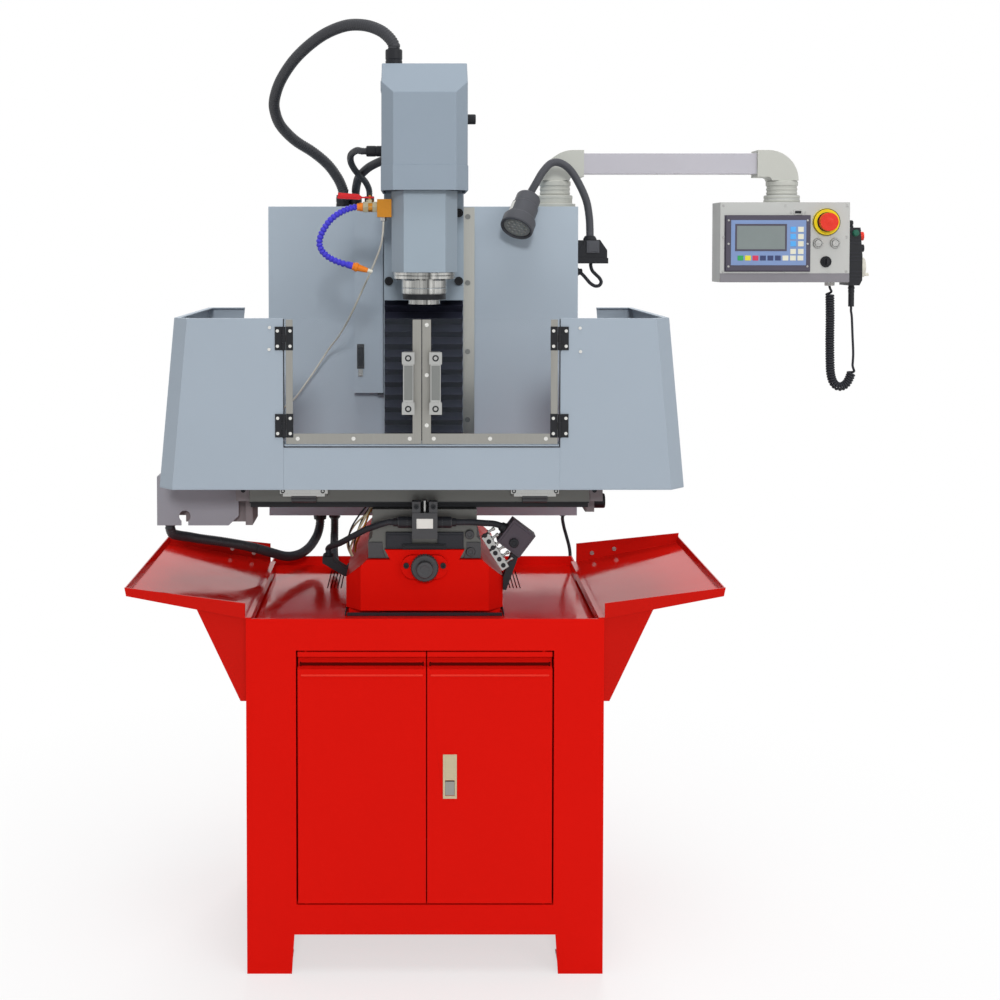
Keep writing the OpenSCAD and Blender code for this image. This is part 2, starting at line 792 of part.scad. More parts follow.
// Base casting: chamfered front, dovetail way, trench for the Y screw and motor
module machine_base() {
    half = base_w / 2;
    way_half = way_top_w / 2;
    color(red) difference() {
        union() {
            intersection() {
                along_y(base_front, base_back) polygon([
                    [-half, base_z], [half, base_z], [half, base_z + base_side_h],
                    [shoulder_w / 2, way_z], [way_half - way_undercut, way_z], [way_half, way_top],
                    [-way_half, way_top], [-way_half + way_undercut, way_z],
                    [-shoulder_w / 2, way_z], [-half, base_z + base_side_h]
                ]);
                translate([0, 0, base_z - 1]) linear_extrude(way_top - base_z + 2) polygon([
                    [-half, base_front + base_chamfer], [-half + base_chamfer, base_front],
                    [half - base_chamfer, base_front], [half, base_front + base_chamfer],
                    [half, base_back], [-half, base_back]
                ]);
            }
            block([-column_w / 2 - 16, column_front - 5, way_z - 5], [column_w / 2 + 16, base_back, way_top]);
            for (sx = [-1, 1], y = [base_front + base_chamfer, base_back - 60])
                block([sx * (half - 35) - 30, y, chip_tray_z], [sx * (half - 35) + 30, y + 60, base_z]);
        }
        block([-trench_half, trench_front, trench_z], [trench_half, base_back - 10, way_top + 1]);
        rod_y(feed_screw_d + 4, base_front - 1, trench_front + 1, 0, y_screw_z);
    }
}

// Bearing flange and stepped cap at the front end of the Y screw
module y_bearing() {
    color(red) difference() {
        union() {
            along_y(base_front - bearing_t, base_front) hull() for (x = [-22, 22])
                translate([x, y_screw_z]) circle(d = 45);
            rod_y(49, base_front - bearing_t - 12, base_front - bearing_t, 0, y_screw_z);
            rod_y(30, base_front - bearing_t - 26, base_front - bearing_t - 12, 0, y_screw_z);
        }
        rod_y(journal_d + 2 * run_fit, base_front - bearing_t - 11, base_front + 1, 0, y_screw_z);
    }
}
module y_screw() {
    color(steel) {
        rod_y(journal_d, base_front - bearing_t - 11 + slide_gap, base_front + 1, 0, y_screw_z);
        rod_y(feed_screw_d, base_front + 1, y_motor_y - slide_gap, 0, y_screw_z);
    }
}

// Stepper motors: Y in the base's trench, Z on top of the column
module axis_motors() {
    color(black) {
        block([-motor_w / 2, y_motor_y, trench_z], [motor_w / 2, y_motor_y + motor_l, trench_z + motor_w]);
        translate([0, z_screw_y, column_top]) {
            translate([-z_motor_w / 2, -z_motor_w / 2, 0]) cube([z_motor_w, z_motor_w, 10]);
            rotate(45) translate([0, 0, 10]) cylinder(d = z_motor_w * 1.32, h = z_motor_h - 10, $fn = 8);
        }
        rod_x(26, -60, -40, z_screw_y, column_top + 35);
    }
}

// Column with its dovetail way, screw trench and the way cover's shelf
module column() {
    half = column_w / 2;
    color(blue_grey) difference() {
        union() {
            block([-half, column_front, way_top], [half, column_back, column_top]);
            block([-half - 16, column_front, way_top], [half + 16, column_back, way_top + 22]);
            translate([0, 0, bellows_low]) linear_extrude(column_top - bellows_low) polygon([
                [-rail_half + rail_undercut, column_front], [-rail_half, rail_front],
                [rail_half, rail_front], [rail_half - rail_undercut, column_front]
            ]);
            block([-half, bellows_front, bellows_low - 8], [half, column_front, bellows_low]);
        }
        block(
            [-z_trench_half, rail_front - 1, z_trench_low],
            [z_trench_half, z_screw_y + 22, column_top - top_web]
        );
        rod_z(journal_d + 2 * run_fit, z_trench_low - 20, z_trench_low + 1, 0, z_screw_y);
        rod_z(z_screw_d + 2 * run_fit, column_top - top_web - 1, column_top + 1, 0, z_screw_y);
    }
}
module z_screw() {
    color(steel) {
        rod_z(journal_d, z_trench_low - 20 + slide_gap, z_trench_low + slide_gap, 0, z_screw_y);
        rod_z(z_screw_d, z_trench_low + slide_gap, column_top - slide_gap, 0, z_screw_y);
    }
}

// Pleated way cover between the column's shelf and the head
module bellows() {
    step = (bellows_high - bellows_low) / (2 * bellows_folds);
    pleats = [for (i = [0:2 * bellows_folds])
        [i % 2 == 0 ? bellows_back - 2 : bellows_front, bellows_low + i * step]];
    color(black) along_x(-bellows_w / 2, bellows_w / 2) polygon(concat(
        pleats, [[bellows_back, bellows_high], [bellows_back, bellows_low]]
    ));
}

// Electrics box: empty sheet housing, with louvres through its rear cover
module electrics_box() {
    cover_in = 30;
    back = box_back - box_cover_t;
    color(blue_grey) difference() {
        union() {
            block([-box_half, box_front, box_low], [box_half, back, box_top]);
            block(
                [-box_half + cover_in, back, box_low + cover_in],
                [box_half - cover_in, box_back, box_top - cover_in]
            );
        }
        block(
            [-box_half + box_sheet, box_front + box_sheet, box_low + box_sheet],
            [box_half - box_sheet, back - box_sheet, box_top - box_sheet]
        );
        for (sx = [-1, 1], i = [0:7])
            block(
                [sx * box_half / 2 - 60, back - box_sheet - 1, box_top - 110 - 16 * i],
                [sx * box_half / 2 + 60, box_back + 1, box_top - 104 - 16 * i]
            );
    }
}

// Hatch beside the column: a shallow pan on two pivot pins, and its turn latch
module hatch() {
    left = hatch_right - hatch_w;
    color(blue_grey) difference() {
        block([left, hatch_front, hatch_low], [hatch_right, hatch_front + hatch_d, hatch_high]);
        block(
            [left + hatch_sheet, hatch_front + hatch_sheet, hatch_low + hatch_sheet],
            [hatch_right - hatch_sheet, hatch_front + hatch_d + 1, hatch_high - hatch_sheet]
        );
        for (z = [hatch_low - 1, hatch_high - hatch_sheet - 1])
            rod_z(hatch_pin_d + 2 * run_fit, z, z + hatch_sheet + 2, hatch_pin_x, hatch_pin_y);
        rod_y(latch_d + 2 * run_fit, hatch_front - 1, hatch_front + hatch_sheet + 1, latch_x, latch_z);
    }
}
module hatch_latch() {
    color(black) {
        rod_y(latch_d, hatch_front - 3, hatch_front + hatch_sheet + 8, latch_x, latch_z);
        block([latch_x - 5, hatch_front - 9, latch_z - 20], [latch_x + 5, hatch_front - 3, latch_z + 20]);
        block([latch_x - 8, hatch_front + 6, latch_z - 5], [latch_x + 18, hatch_front + 8, latch_z + 5]);
    }
}

// Saddle: dovetail groove below, dovetail way above, and the nuts of both screws
module saddle() {
    half = saddle_w / 2;
    groove_half = way_top_w / 2 + slide_gap;
    x_way_half = x_way_w / 2;
    color(machined) difference() {
        union() {
            along_y(saddle_front, saddle_back) polygon([
                [-half - 8, saddle_z], [-groove_half + way_undercut, saddle_z],
                [-groove_half, way_top + slide_gap], [groove_half, way_top + slide_gap],
                [groove_half - way_undercut, saddle_z], [half + 8, saddle_z], [half + 8, saddle_z + 34],
                [half, saddle_z + 42], [half, saddle_top], [-half, saddle_top],
                [-half, saddle_z + 42], [-half - 8, saddle_z + 34]
            ]);
            along_x(-half, half) polygon([
                [spindle_y - x_way_half + x_undercut, saddle_top],
                [spindle_y - x_way_half, saddle_top + x_way_h],
                [spindle_y + x_way_half, saddle_top + x_way_h],
                [spindle_y + x_way_half - x_undercut, saddle_top]
            ]);
            block([-nut_half, -18, y_screw_z - 18], [nut_half, 18, way_top + 1]);
        }
        for (x = [[-half - 1, -nut_half], [nut_half, half + 1]])
            block(
                [x[0], spindle_y - x_trench_half, x_screw_z - 20],
                [x[1], spindle_y + x_trench_half, saddle_top + x_way_h + 1]
            );
        rod_x(feed_screw_d + 2 * run_fit, -half - 1, half + 1, spindle_y, x_screw_z);
        rod_y(feed_screw_d + 2 * run_fit, -21, 21, 0, y_screw_z);
    }
}

// Limit switch block on the saddle's front, its cable glands and the way wiper
module junction_block() {
    front = saddle_front - 40;
    top = saddle_top + 1;
    color(machined) {
        block([-24, front, top - 50], [24, saddle_front, top - 1]);
        for (sx = [-1, 1]) block([sx * 16 - 8, front + 2, top - 1], [sx * 16 + 8, front + 22, top + 20]);
        rod_z(8, top - 1, top + 22, 0, front + 14);
        block([-74, saddle_front - 5, way_top + 1], [-24, saddle_front, way_top + 32]);
        block([24, saddle_front - 5, way_top + 1], [74, saddle_front, way_top + 32]);
        for (sx = [-1, 1]) rod_x(21, sx > 0 ? 24 : -51, sx > 0 ? 51 : -24, -175, saddle_gland_z);
        for (sx = [-1, 1]) rod_x(15, sx > 0 ? 51 : -59, sx > 0 ? 59 : -51, -175, saddle_gland_z);
    }
}

// Work table with three T-slots, dovetail skirt and the limit dogs on its front
module table() {
    groove = x_way_w / 2 + slide_gap;
    roof = saddle_top + x_way_h + slide_gap;
    color(machined) difference() {
        union() {
            block([table_left, table_front, slab_z], [table_right, table_back, table_top]);
            block([table_left, table_front + 17, table_z], [table_right, table_back - 17, slab_z]);
            for (x = [table_left + 60, table_right - 150])
                block([x, table_front - 9, slab_z + 14], [x + 90, table_front, slab_z + 28]);
        }
        along_x(table_left - 1, table_right + 1) polygon([
            [spindle_y - groove + x_undercut, table_z - 1], [spindle_y - groove, roof],
            [spindle_y + groove, roof], [spindle_y + groove - x_undercut, table_z - 1]
        ]);
        for (i = [-1:1]) {
            y = spindle_y + i * tee_pitch;
            block([table_left - 1, y - tee_w / 2, table_top - 22], [table_right + 1, y + tee_w / 2, table_top + 1]);
            block([table_left - 1, y - tee_w + 1, table_top - 22], [table_right + 1, y + tee_w - 1, table_top - 12]);
        }
    }
}

// End brackets of the X screw, the end cap and the X motor
module table_ends() {
    low = guard_z - guard_sheet;
    color(machined) difference() {
        union() {
            block([end_left, table_front + 4, slab_z + 2], [table_left, table_back - 4, low]);
            block([table_left - 14, spindle_y - 45, x_screw_z - 40], [table_left, spindle_y + 45, slab_z + 2]);
            block([table_right, table_front + 4, slab_z + 2], [end_right, table_back - 4, low]);
            block([table_right, spindle_y - 34, x_screw_z - 16], [table_right + 18, spindle_y + 34, slab_z + 2]);
            rod_x(28, table_right + 18, table_right + 42, spindle_y, x_screw_z);
            block(
                [end_left - 106, spindle_y - x_motor_w / 2, x_screw_z - x_motor_w / 2],
                [table_left - 14, spindle_y + x_motor_w / 2, x_screw_z + x_motor_w / 2]
            );
            block(
                [end_left - 150, spindle_y - 25, motor_gland_z + 22],
                [end_left - 106, spindle_y + 25, motor_gland_z + 68]
            );
            rod_z(26, motor_gland_z, motor_gland_z + 22, end_left - 144, -50);
        }
        rod_x(journal_d + 2 * run_fit, table_left - 12, table_left + 1, spindle_y, x_screw_z);
        rod_x(journal_d + 2 * run_fit, table_right - 1, table_right + 20, spindle_y, x_screw_z);
    }
}
module x_screw() {
    color(steel) {
        rod_x(feed_screw_d, table_left + slide_gap, table_right - slide_gap, spindle_y, x_screw_z);
        rod_x(journal_d, table_left - 12 + slide_gap, table_left + 1, spindle_y, x_screw_z);
        rod_x(journal_d, table_right - 1, table_right + 20 - slide_gap, spindle_y, x_screw_z);
    }
}

// Sheet cover over the X motor: front, top and back, with a keyhole notch
module x_motor_cover() {
    top = guard_z - guard_sheet;
    low = top - x_cover_drop;
    hole_x = x_cover_left + 54;
    hole_z = low + 18;
    color(blue_grey) {
        difference() {
            along_x(x_cover_left, end_left) folded([
                [x_cover_front, low], [x_cover_front, top], [x_cover_back, top], [x_cover_back, low]
            ], -2);
            along_y(x_cover_front - 1, x_cover_back + 1) polygon([
                [end_left + 1, low - 1], [end_left + 1, low + 20], [end_left - 21, low - 1]
            ]);
            rod_y(22, x_cover_front - 1, x_cover_front + 3, hole_x, hole_z);
            block([hole_x - 6.5, x_cover_front - 1, low - 1], [hole_x + 6.5, x_cover_front + 3, hole_z]);
        }
    }
}

// Splash guard: leaning wings, folded from the door opening round to the back
guard_path = [
    [guard_open_half + door_clear, guard_front], [guard_half, guard_front],
    [guard_side, guard_front + guard_corner], [guard_side, guard_back],
    [guard_side - guard_return, guard_back]
];
guard_path_top = [for (i = [0:len(guard_path) - 1]) guard_path[i] - [i == 0 ? 0 : guard_lean, 0]];
module guard_wing() {
    color(blue_grey) {
        loft(fold(guard_path, guard_sheet), fold(guard_path_top, guard_sheet), guard_z, guard_top);
        translate([0, 0, guard_top - guard_sheet]) linear_extrude(guard_sheet) folded(guard_path_top, guard_hem);
    }
}
module guard_right() { translate([guard_x, 0, 0]) guard_wing(); }
module guard_left() { translate([guard_x, 0, 0]) mirror([1, 0, 0]) guard_wing(); }

// Floor of the guard round the table, the sill below the doors and the low back wall
module guard_floor() {
    inner = guard_side - guard_return;
    fit = slide_gap;
    color(blue_grey) {
        translate([0, 0, guard_z - guard_sheet]) linear_extrude(guard_sheet) difference() {
            translate([guard_x, 0]) polygon([
                [-guard_half, guard_front], [guard_half, guard_front], [guard_side, guard_front + guard_corner],
                [guard_side, guard_back], [inner, guard_back], [inner, low_wall_y], [-inner, low_wall_y],
                [-inner, guard_back], [-guard_side, guard_back], [-guard_side, guard_front + guard_corner]
            ]);
            translate([table_left - fit, table_front - fit]) square([table_l + 2 * fit, table_w + 2 * fit]);
        }
        translate([guard_x, 0, 0]) {
            along_x(-guard_open_half - door_clear, guard_open_half + door_clear) folded([
                [guard_front, guard_z], [guard_front, sill_z], [guard_front + 14, sill_z]
            ], -guard_sheet);
            block([-inner, low_wall_y - guard_sheet, guard_z], [inner, low_wall_y, guard_z + low_wall_h]);
        }
    }
}

// Butt hinge about its own axis: the leaf on the guard holds the pin
third = hinge_h / 3;
leaf_in = barrel_r + 0.7;
module hinge_leaf(knuckles) {
    block([leaf_in, barrel_r - leaf_t, 0], [leaf_w, barrel_r, hinge_h]);
    for (k = knuckles) {
        rod_z(2 * barrel_r, k[0], k[1], 0, 0);
        block([0, barrel_r - leaf_t, k[0]], [leaf_in, barrel_r, k[1]]);
    }
}
module fixed_hinge() {
    mirror([1, 0, 0]) hinge_leaf([[0, third], [2 * third, hinge_h]]);
    rod_z(hinge_pin_d, 0, hinge_h, 0, 0);
}
module moving_hinge() {
    difference() {
        hinge_leaf([[third + slide_gap, 2 * third - slide_gap]]);
        rod_z(hinge_pin_d + 2 * run_fit, -1, hinge_h + 1, 0, 0);
    }
}
module guard_hinges() {
    color(black) for (sx = [-1, 1], z = hinge_zs)
        translate([guard_x + sx * guard_open_half, hinge_y, z]) mirror([sx > 0 ? 1 : 0, 0, 0]) fixed_hinge();
}

// Clear guard door hung on the left, measured from its hinge axis
door_w = guard_open_half - 0.75;
module pane() {
    block([door_clear, guard_front, pane_low], [door_w, guard_front + pane_t, guard_top]);
}
module fittings() {
    front = guard_front - strip_t;
    handle_x = door_w - 24;
    block([barrel_r, front, pane_low], [door_w, guard_front, pane_low + bottom_strip_h]);
    block([barrel_r, front, pane_low], [strip_w, guard_front, guard_top - 2]);
    block([door_w - strip_w, front, pane_low], [door_w, guard_front, guard_top - 2]);
    for (z = hinge_zs) translate([0, hinge_y, z]) moving_hinge();
    along_x(handle_x - handle_w / 2, handle_x + handle_w / 2) folded([
        [guard_front, handle_z], [guard_front - handle_off + 6, handle_z],
        [guard_front - handle_off, handle_z + 6], [guard_front - handle_off, handle_z + handle_l - 6],
        [guard_front - handle_off + 6, handle_z + handle_l], [guard_front, handle_z + handle_l]
    ], -10);
}
module left_place() { translate([guard_x - guard_open_half, 0, 0]) children(); }
module right_place() { translate([guard_x + guard_open_half, 0, 0]) mirror([1, 0, 0]) children(); }
module left_pane() { color("#dfe6ea", 0.4) left_place() pane(); }
module right_pane() { color("#dfe6ea", 0.4) right_place() pane(); }
module left_fittings() { color(steel) left_place() fittings(); }
module right_fittings() { color(steel) right_place() fittings(); }

// Head casting: slide plate with dovetail groove and Z nut, spindle housing, bearing nose
module head_casting() {
    groove_half = rail_half + slide_gap;
    nut_z = slide_z + slide_h / 2;
    color(blue_grey) difference() {
        union() {
            block([-slide_w / 2, slide_front, slide_z], [slide_w / 2, slide_back, column_top - slide_gap]);
            translate([0, 0, housing_z]) linear_extrude(housing_h) polygon([
                [-housing_half, slide_front + 1], [-housing_half, housing_front + 38], [-40, housing_front],
                [40, housing_front], [housing_half, housing_front + 38], [housing_half, slide_front + 1]
            ]);
            rod_z(flange_d, housing_z - flange_t, housing_z, 0, spindle_y);
            rod_z(nose_d, nose_z, housing_z - flange_t, 0, spindle_y);
        }
        translate([0, 0, slide_z - 1]) linear_extrude(slide_h + 2) polygon([
            [-groove_half + rail_undercut, column_front], [-groove_half, rail_front - slide_gap],
            [groove_half, rail_front - slide_gap], [groove_half - rail_undercut, column_front]
        ]);
        rod_z(shaft_d + 2 * run_fit, nose_z - 1, housing_top + 1, 0, spindle_y);
    }
    color(blue_grey) difference() {
        block([-18, rail_front - slide_gap - 1, nut_z - 20], [18, z_screw_y + 18, nut_z + 20]);
        rod_z(z_screw_d + 2 * run_fit, nut_z - 21, nut_z + 21, 0, z_screw_y);
    }
}

// Motor cover: open below, chamfered corners and a sloping front hip
module cover_form(inset) {
    half = cover_half - inset;
    front = cover_front + inset;
    back = cover_back - inset;
    top = cover_top - inset;
    intersection() {
        translate([0, 0, housing_top - inset]) linear_extrude(top - housing_top + inset) polygon([
            [-half, back], [-half, front + 26], [-half + 23, front], [half - 23, front],
            [half, front + 26], [half, back]
        ]);
        along_x(-half, half) polygon([
            [front, housing_top - inset], [front, top - hip_h], [front + hip_d, top], [back, top], [back, housing_top - inset]
        ]);
    }
}
module motor_cover() {
    color(blue_grey) difference() {
        cover_form(0);
        cover_form(cover_t);
    }
}
module spindle_motor() {
    color(black) difference() {
        union() {
            rod_z(118, housing_top, housing_top + 14, 0, spindle_y);
            rod_z(104, housing_top + 14, housing_top + 170, 0, spindle_y);
        }
        rod_z(shaft_d + 2 * run_fit, housing_top - 1, housing_top + 45, 0, spindle_y);
    }
}

// Spindle with its draw-in ring and taper socket
module spindle() {
    ring_z = nose_z - slide_gap - ring_h;
    end_z = ring_z - spindle_end_h;
    color(steel) difference() {
        union() {
            rod_z(nose_d - 4, ring_z, nose_z - slide_gap, 0, spindle_y);
            rod_z(spindle_d, end_z, ring_z, 0, spindle_y);
            rod_z(shaft_d, ring_z, housing_top + 44, 0, spindle_y);
        }
        translate([0, spindle_y, end_z - 0.01]) cylinder(d1 = taper_d, d2 = 17.4, h = 50);
        rod_z(17.4, end_z + 49, end_z + 80, 0, spindle_y);
    }
}

// Coolant block and ball valve on the head's left side, and the head's cable glands
module head_fittings() {
    left = -housing_half - block_w;
    color("#c07a28") {
        block([left, valve_y - block_d / 2, valve_z - 20], [-housing_half, valve_y + block_d / 2, valve_z + block_h - 20]);
        rod_x(valve_d, left - valve_l, left, valve_y, valve_z);
        rod_z(stem_d, valve_z, lever_z + lever_t + 3, stem_x, valve_y);
        rod_z(31, cover_top, cover_gland_z, -60, -40);
        rod_x(20, -115, -cover_half, 0, lead_gland_z);
    }
}
module valve_lever() {
    color(red) difference() {
        block([stem_x - lever_l, valve_y - 5, lever_z], [stem_x + 8, valve_y + 5, lever_z + lever_t]);
        rod_z(stem_d + 2 * run_fit, lever_z - 1, lever_z + lever_t + 1, stem_x, valve_y);
    }
}

// Segmented coolant hose: ball links threaded along its route, with its nozzle
module coolant_hose() {
    links = smooth([for (p = hose_route) [p[0], valve_y, valve_z + p[1]]], 6);
    last = len(links) - 1;
    color("#2f6fd6") {
        tube(links, [for (i = [0:last]) i % 3 == 0 ? 9.4 : 13.2], 12);
        translate(links[last]) rotate([0, 106, 0]) rotate_extrude() polygon([
            [0, -1], [7, -1], [7, 12], [8.5, 13], [8.5, 18], [6.5, 19], [4.5, 36], [3.2, 48], [0, 48]
        ]);
    }
}

// Cast post on the box, and the arm with its elbows and square tube
module arm_base() {
    color(casting_grey) difference() {
        union() {
            rod_z(collar_d + 14, box_top, box_top + 8, arm_x, arm_y);
            rod_z(collar_d, box_top, box_top + post_h, arm_x, arm_y);
        }
        rod_z(spigot_d + 2 * run_fit, box_top + post_h - spigot_l - slide_gap, box_top + post_h + 1, arm_x, arm_y);
    }
}
module elbow() {
    rod_z(ring_d, arm_low, bend_z, arm_x, arm_y);
    translate([arm_x + elbow_w / 2 + bend_r, arm_y, bend_z]) rotate([90, 0, 0]) rotate([0, 0, 90])
        rotate_extrude(angle = 90) translate([bend_r, -elbow_w / 2]) square(elbow_w);
    block(
        [arm_x + elbow_w / 2 + bend_r, arm_y - elbow_w / 2, tube_z - elbow_w / 2],
        [arm_x + elbow_w / 2 + bend_r + 24, arm_y + elbow_w / 2, tube_z + elbow_w / 2]
    );
}
module arm() {
    mid = (arm_x + neck_x) / 2;
    color(casting_grey) difference() {
        union() {
            elbow();
            translate([2 * mid, 0, 0]) mirror([1, 0, 0]) elbow();
            block(
                [arm_x + elbow_w, arm_y - arm_tube_w / 2, tube_z - arm_tube_w / 2],
                [neck_x - elbow_w, arm_y + arm_tube_w / 2, tube_z + arm_tube_w / 2]
            );
            rod_z(spigot_d, arm_low - spigot_l, arm_low, arm_x, arm_y);
        }
        rod_z(spigot_d + 2 * run_fit, arm_low - 1, arm_low + spigot_l + slide_gap, neck_x, arm_y);
    }
}

// Operator panel, hung by its neck under the arm
module panel_housing() {
    color(casting_grey) difference() {
        union() {
            along_x(panel_left, panel_right) polygon([
                [panel_front, panel_low + 18], [panel_front + 4, panel_low], [panel_back, panel_low],
                [panel_back, panel_top], [panel_front, panel_top]
            ]);
            rod_z(collar_d, panel_top, panel_top + neck_h - slide_gap, neck_x, arm_y);
            rod_z(spigot_d, panel_top + 1, arm_low + spigot_l, neck_x, arm_y);
            rod_z(22, panel_gland_z, panel_low, 915, 330);
        }
        rod_y(stop_shaft_d + 2 * run_fit, panel_front - 1, panel_front + 26, stop_x, stop_z);
        for (x = button_xs)
            rod_y(button_d + 2 * run_fit, panel_front - 1, panel_front + control_depth, x, button_z);
        rod_y(key_d + 2 * run_fit, panel_front - 1, panel_front + control_depth, stop_x, key_z);
    }
}
module controller() {
    color("#4a5068") {
        block(
            [controller_x, panel_front - controller_t, controller_z],
            [controller_x + controller_w, panel_front, controller_z + controller_h]
        );
        difference() {
            rod_y(stop_plate_d, panel_front - stop_plate_t, panel_front, stop_x, stop_z);
            rod_y(stop_shaft_d + 2, panel_front - stop_plate_t - 1, panel_front + 1, stop_x, stop_z);
        }
        for (x = concat(button_xs, [stop_x])) difference() {
            z = x == stop_x ? key_z : button_z;
            rod_y(button_d + 7, panel_front - 3, panel_front, x, z);
            rod_y(button_d + 1, panel_front - 4, panel_front + 1, x, z);
        }
    }
}
module stop_button() {
    back = panel_front - stop_plate_t - stop_travel - slide_gap;
    color("#d2231e") {
        rod_y(stop_d, back - 14, back, stop_x, stop_z);
        rod_y(stop_shaft_d, back, panel_front + 16, stop_x, stop_z);
    }
}
module push_button(x) {
    rod_y(button_d, panel_front - 6, panel_front + control_depth - button_travel - 1, x, button_z);
}
module start_button() { color(steel) push_button(button_xs[0]); }
module reset_button() { color(steel) push_button(button_xs[1]); }
module key_switch() {
    color(black) {
        rod_y(key_d, panel_front - 6, panel_front + control_depth - 1, stop_x, key_z);
        block([stop_x - 1.5, panel_front - 14, key_z - 6], [stop_x + 1.5, panel_front - 6, key_z + 6]);
    }
}

// Hand pendant on the panel's right side, its controls and its curly lead
module pendant_body() {
    y = pendant_y - pendant_depth / 2;
    color(black) difference() {
        union() {
            along_y(y, y + pendant_depth) polygon([
                [panel_right, pendant_high - 4], [panel_right + 4, pendant_high],
                [pendant_face - 5, pendant_high], [pendant_face - 2, pendant_high - 40],
                [pendant_face, dial_z + 28], [pendant_face, dial_z - 28],
                [pendant_face - 6, pendant_low], [panel_right, pendant_low]
            ]);
            rod_z(13, pendant_gland_z, pendant_low, 964, pendant_y);
            rod_z(11, pendant_high, pendant_high + 14, panel_right + 12, pendant_y);
        }
        rod_x(dial_shaft_d + 2 * run_fit, pendant_face - 14, pendant_face + 1, pendant_y, dial_z);
        rod_x(12 + 2 * run_fit, pendant_face - 20, pendant_face + 1, pendant_y, pendant_stop_z);
        rod_x(8 + 2 * run_fit, pendant_face - 16, pendant_face + 1, pendant_y, pendant_knob_z);
    }
}
module pendant_dial() {
    color("#d8d6cc") {
        rod_x(dial_d, pendant_face + 1, pendant_face + 1 + dial_t, pendant_y, dial_z);
        rod_x(dial_shaft_d, pendant_face - 13, pendant_face + 1, pendant_y, dial_z);
        rod_x(7, pendant_face + 1 + dial_t, pendant_face + dial_t + 13, pendant_y, dial_z - dial_d / 2 + 6);
    }
}
module pendant_stop() {
    color("#d2231e") {
        rod_x(pendant_stop_d, pendant_face + 4, pendant_face + 11, pendant_y, pendant_stop_z);
        rod_x(12, pendant_face - 14, pendant_face + 4, pendant_y, pendant_stop_z);
    }
}
module pendant_knob() {
    color(black) {
        rod_x(pendant_knob_d, pendant_face + 1, pendant_face + 12, pendant_y, pendant_knob_z);
        rod_x(8, pendant_face - 15, pendant_face + 1, pendant_y, pendant_knob_z);
    }
}
module pendant_cord() {
    color(black) {
        tube(smooth(pendant_route, 2), 19, 10);
        tube(smooth(pendant_lead_route, 2), 6, 8);
    }
}

// Gooseneck lamp on the right side of the box
module lamp_stem() {
    color(black) {
        along_y(lamp_y - 20, lamp_y + 20) polygon([
            [box_half, lamp_base_z], [box_half + 40, lamp_base_z], [box_half + lamp_base_l, lamp_base_z + 20],
            [box_half + lamp_base_l, lamp_base_z + lamp_base_h], [box_half, lamp_base_z + lamp_base_h]
        ]);
        tube(smooth(lamp_route, 3), 16, 10);
    }
}
module lamp_head() {
    color(hose_black) translate(lamp_back)
        rotate([0, acos(lamp_axis[2] / norm(lamp_axis)), atan2(lamp_axis[1], lamp_axis[0])])
            rotate_extrude() polygon([
                [0, 0], [12, 0], [14, 14], [27, 22], [31, 40], [36, 52], [36, lamp_l], [30, lamp_l],
                [28, lamp_l - 8], [0, lamp_l - 8]
            ]);
}

// Glands and hatch lugs of the box, the coolant tube's fitting and the switch box beside the saddle
module box_fittings() {
    shoulder = base_w / 2;
    bracket = bracket_gland_z - 742;
    color(black) {
        for (z = [hatch_high + 0.5, hatch_low - lug_t - 0.5])
            block([hatch_pin_x - 7, hatch_front, z], [hatch_right + 2, box_front, z + lug_t]);
        rod_z(hatch_pin_d, hatch_high - hatch_sheet - 2, hatch_high + 1, hatch_pin_x, hatch_pin_y);
        rod_z(hatch_pin_d, hatch_low - 1, hatch_low + hatch_sheet + 2, hatch_pin_x, hatch_pin_y);
        rod_z(31, box_top, box_gland_z, -180, 345);
        rod_z(20, box_top, box_gland_z - 4, -120, 315);
        rod_z(26, box_top, box_gland_z - 2, -152, 350);
        rod_z(28, under_gland_z, box_low, -233, 330);
        rod_z(12, tube_fit_z - 12, tube_fit_z, -308, 253);
        block([-316, 246, tube_fit_z - 20], [-300, box_front, tube_fit_z - 12]);
        translate(switch_at) rotate([0, switch_tilt, 0]) cube([switch_w, 36, switch_w], center = true);
        along_y(-145, -119) translate([0, bracket])
            polygon([[shoulder, 690], [shoulder + 6, 690], [188, 776], [174, 780], [shoulder, 713]]);
        along_y(-76, -46) translate([0, bracket]) polygon([
            [-shoulder, 700], [-shoulder, 713], [-179, 730], [-179, 738], [-201, 738], [-201, 726], [-shoulder - 6, 700]
        ]);
        rod_z(18, bracket_gland_z - 8, bracket_gland_z, -190, -60);
    }
}
module spindle_conduit() { color(hose_black) tube(smooth(spindle_route, 2), 24, 10); }
module head_leads() {
    color(hose_black) {
        tube(smooth(head_route, 3), 14, 10);
        tube(smooth(z_motor_route, 2), 19, 10);
    }
}
module table_hose() { color(hose_black) tube(smooth(table_route, 2), 20, 10, [0.3, 0.2, 1]); }
module coolant_tube() { color("#e8e8e0") tube(smooth(coolant_route, 4), 4, 8); }
module saddle_leads() {
    color(hose_black) {
        tube(smooth(left_lead_route, 2), 12, 10);
        tube(smooth(right_lead_route, 2), 12, 10);
    }
}

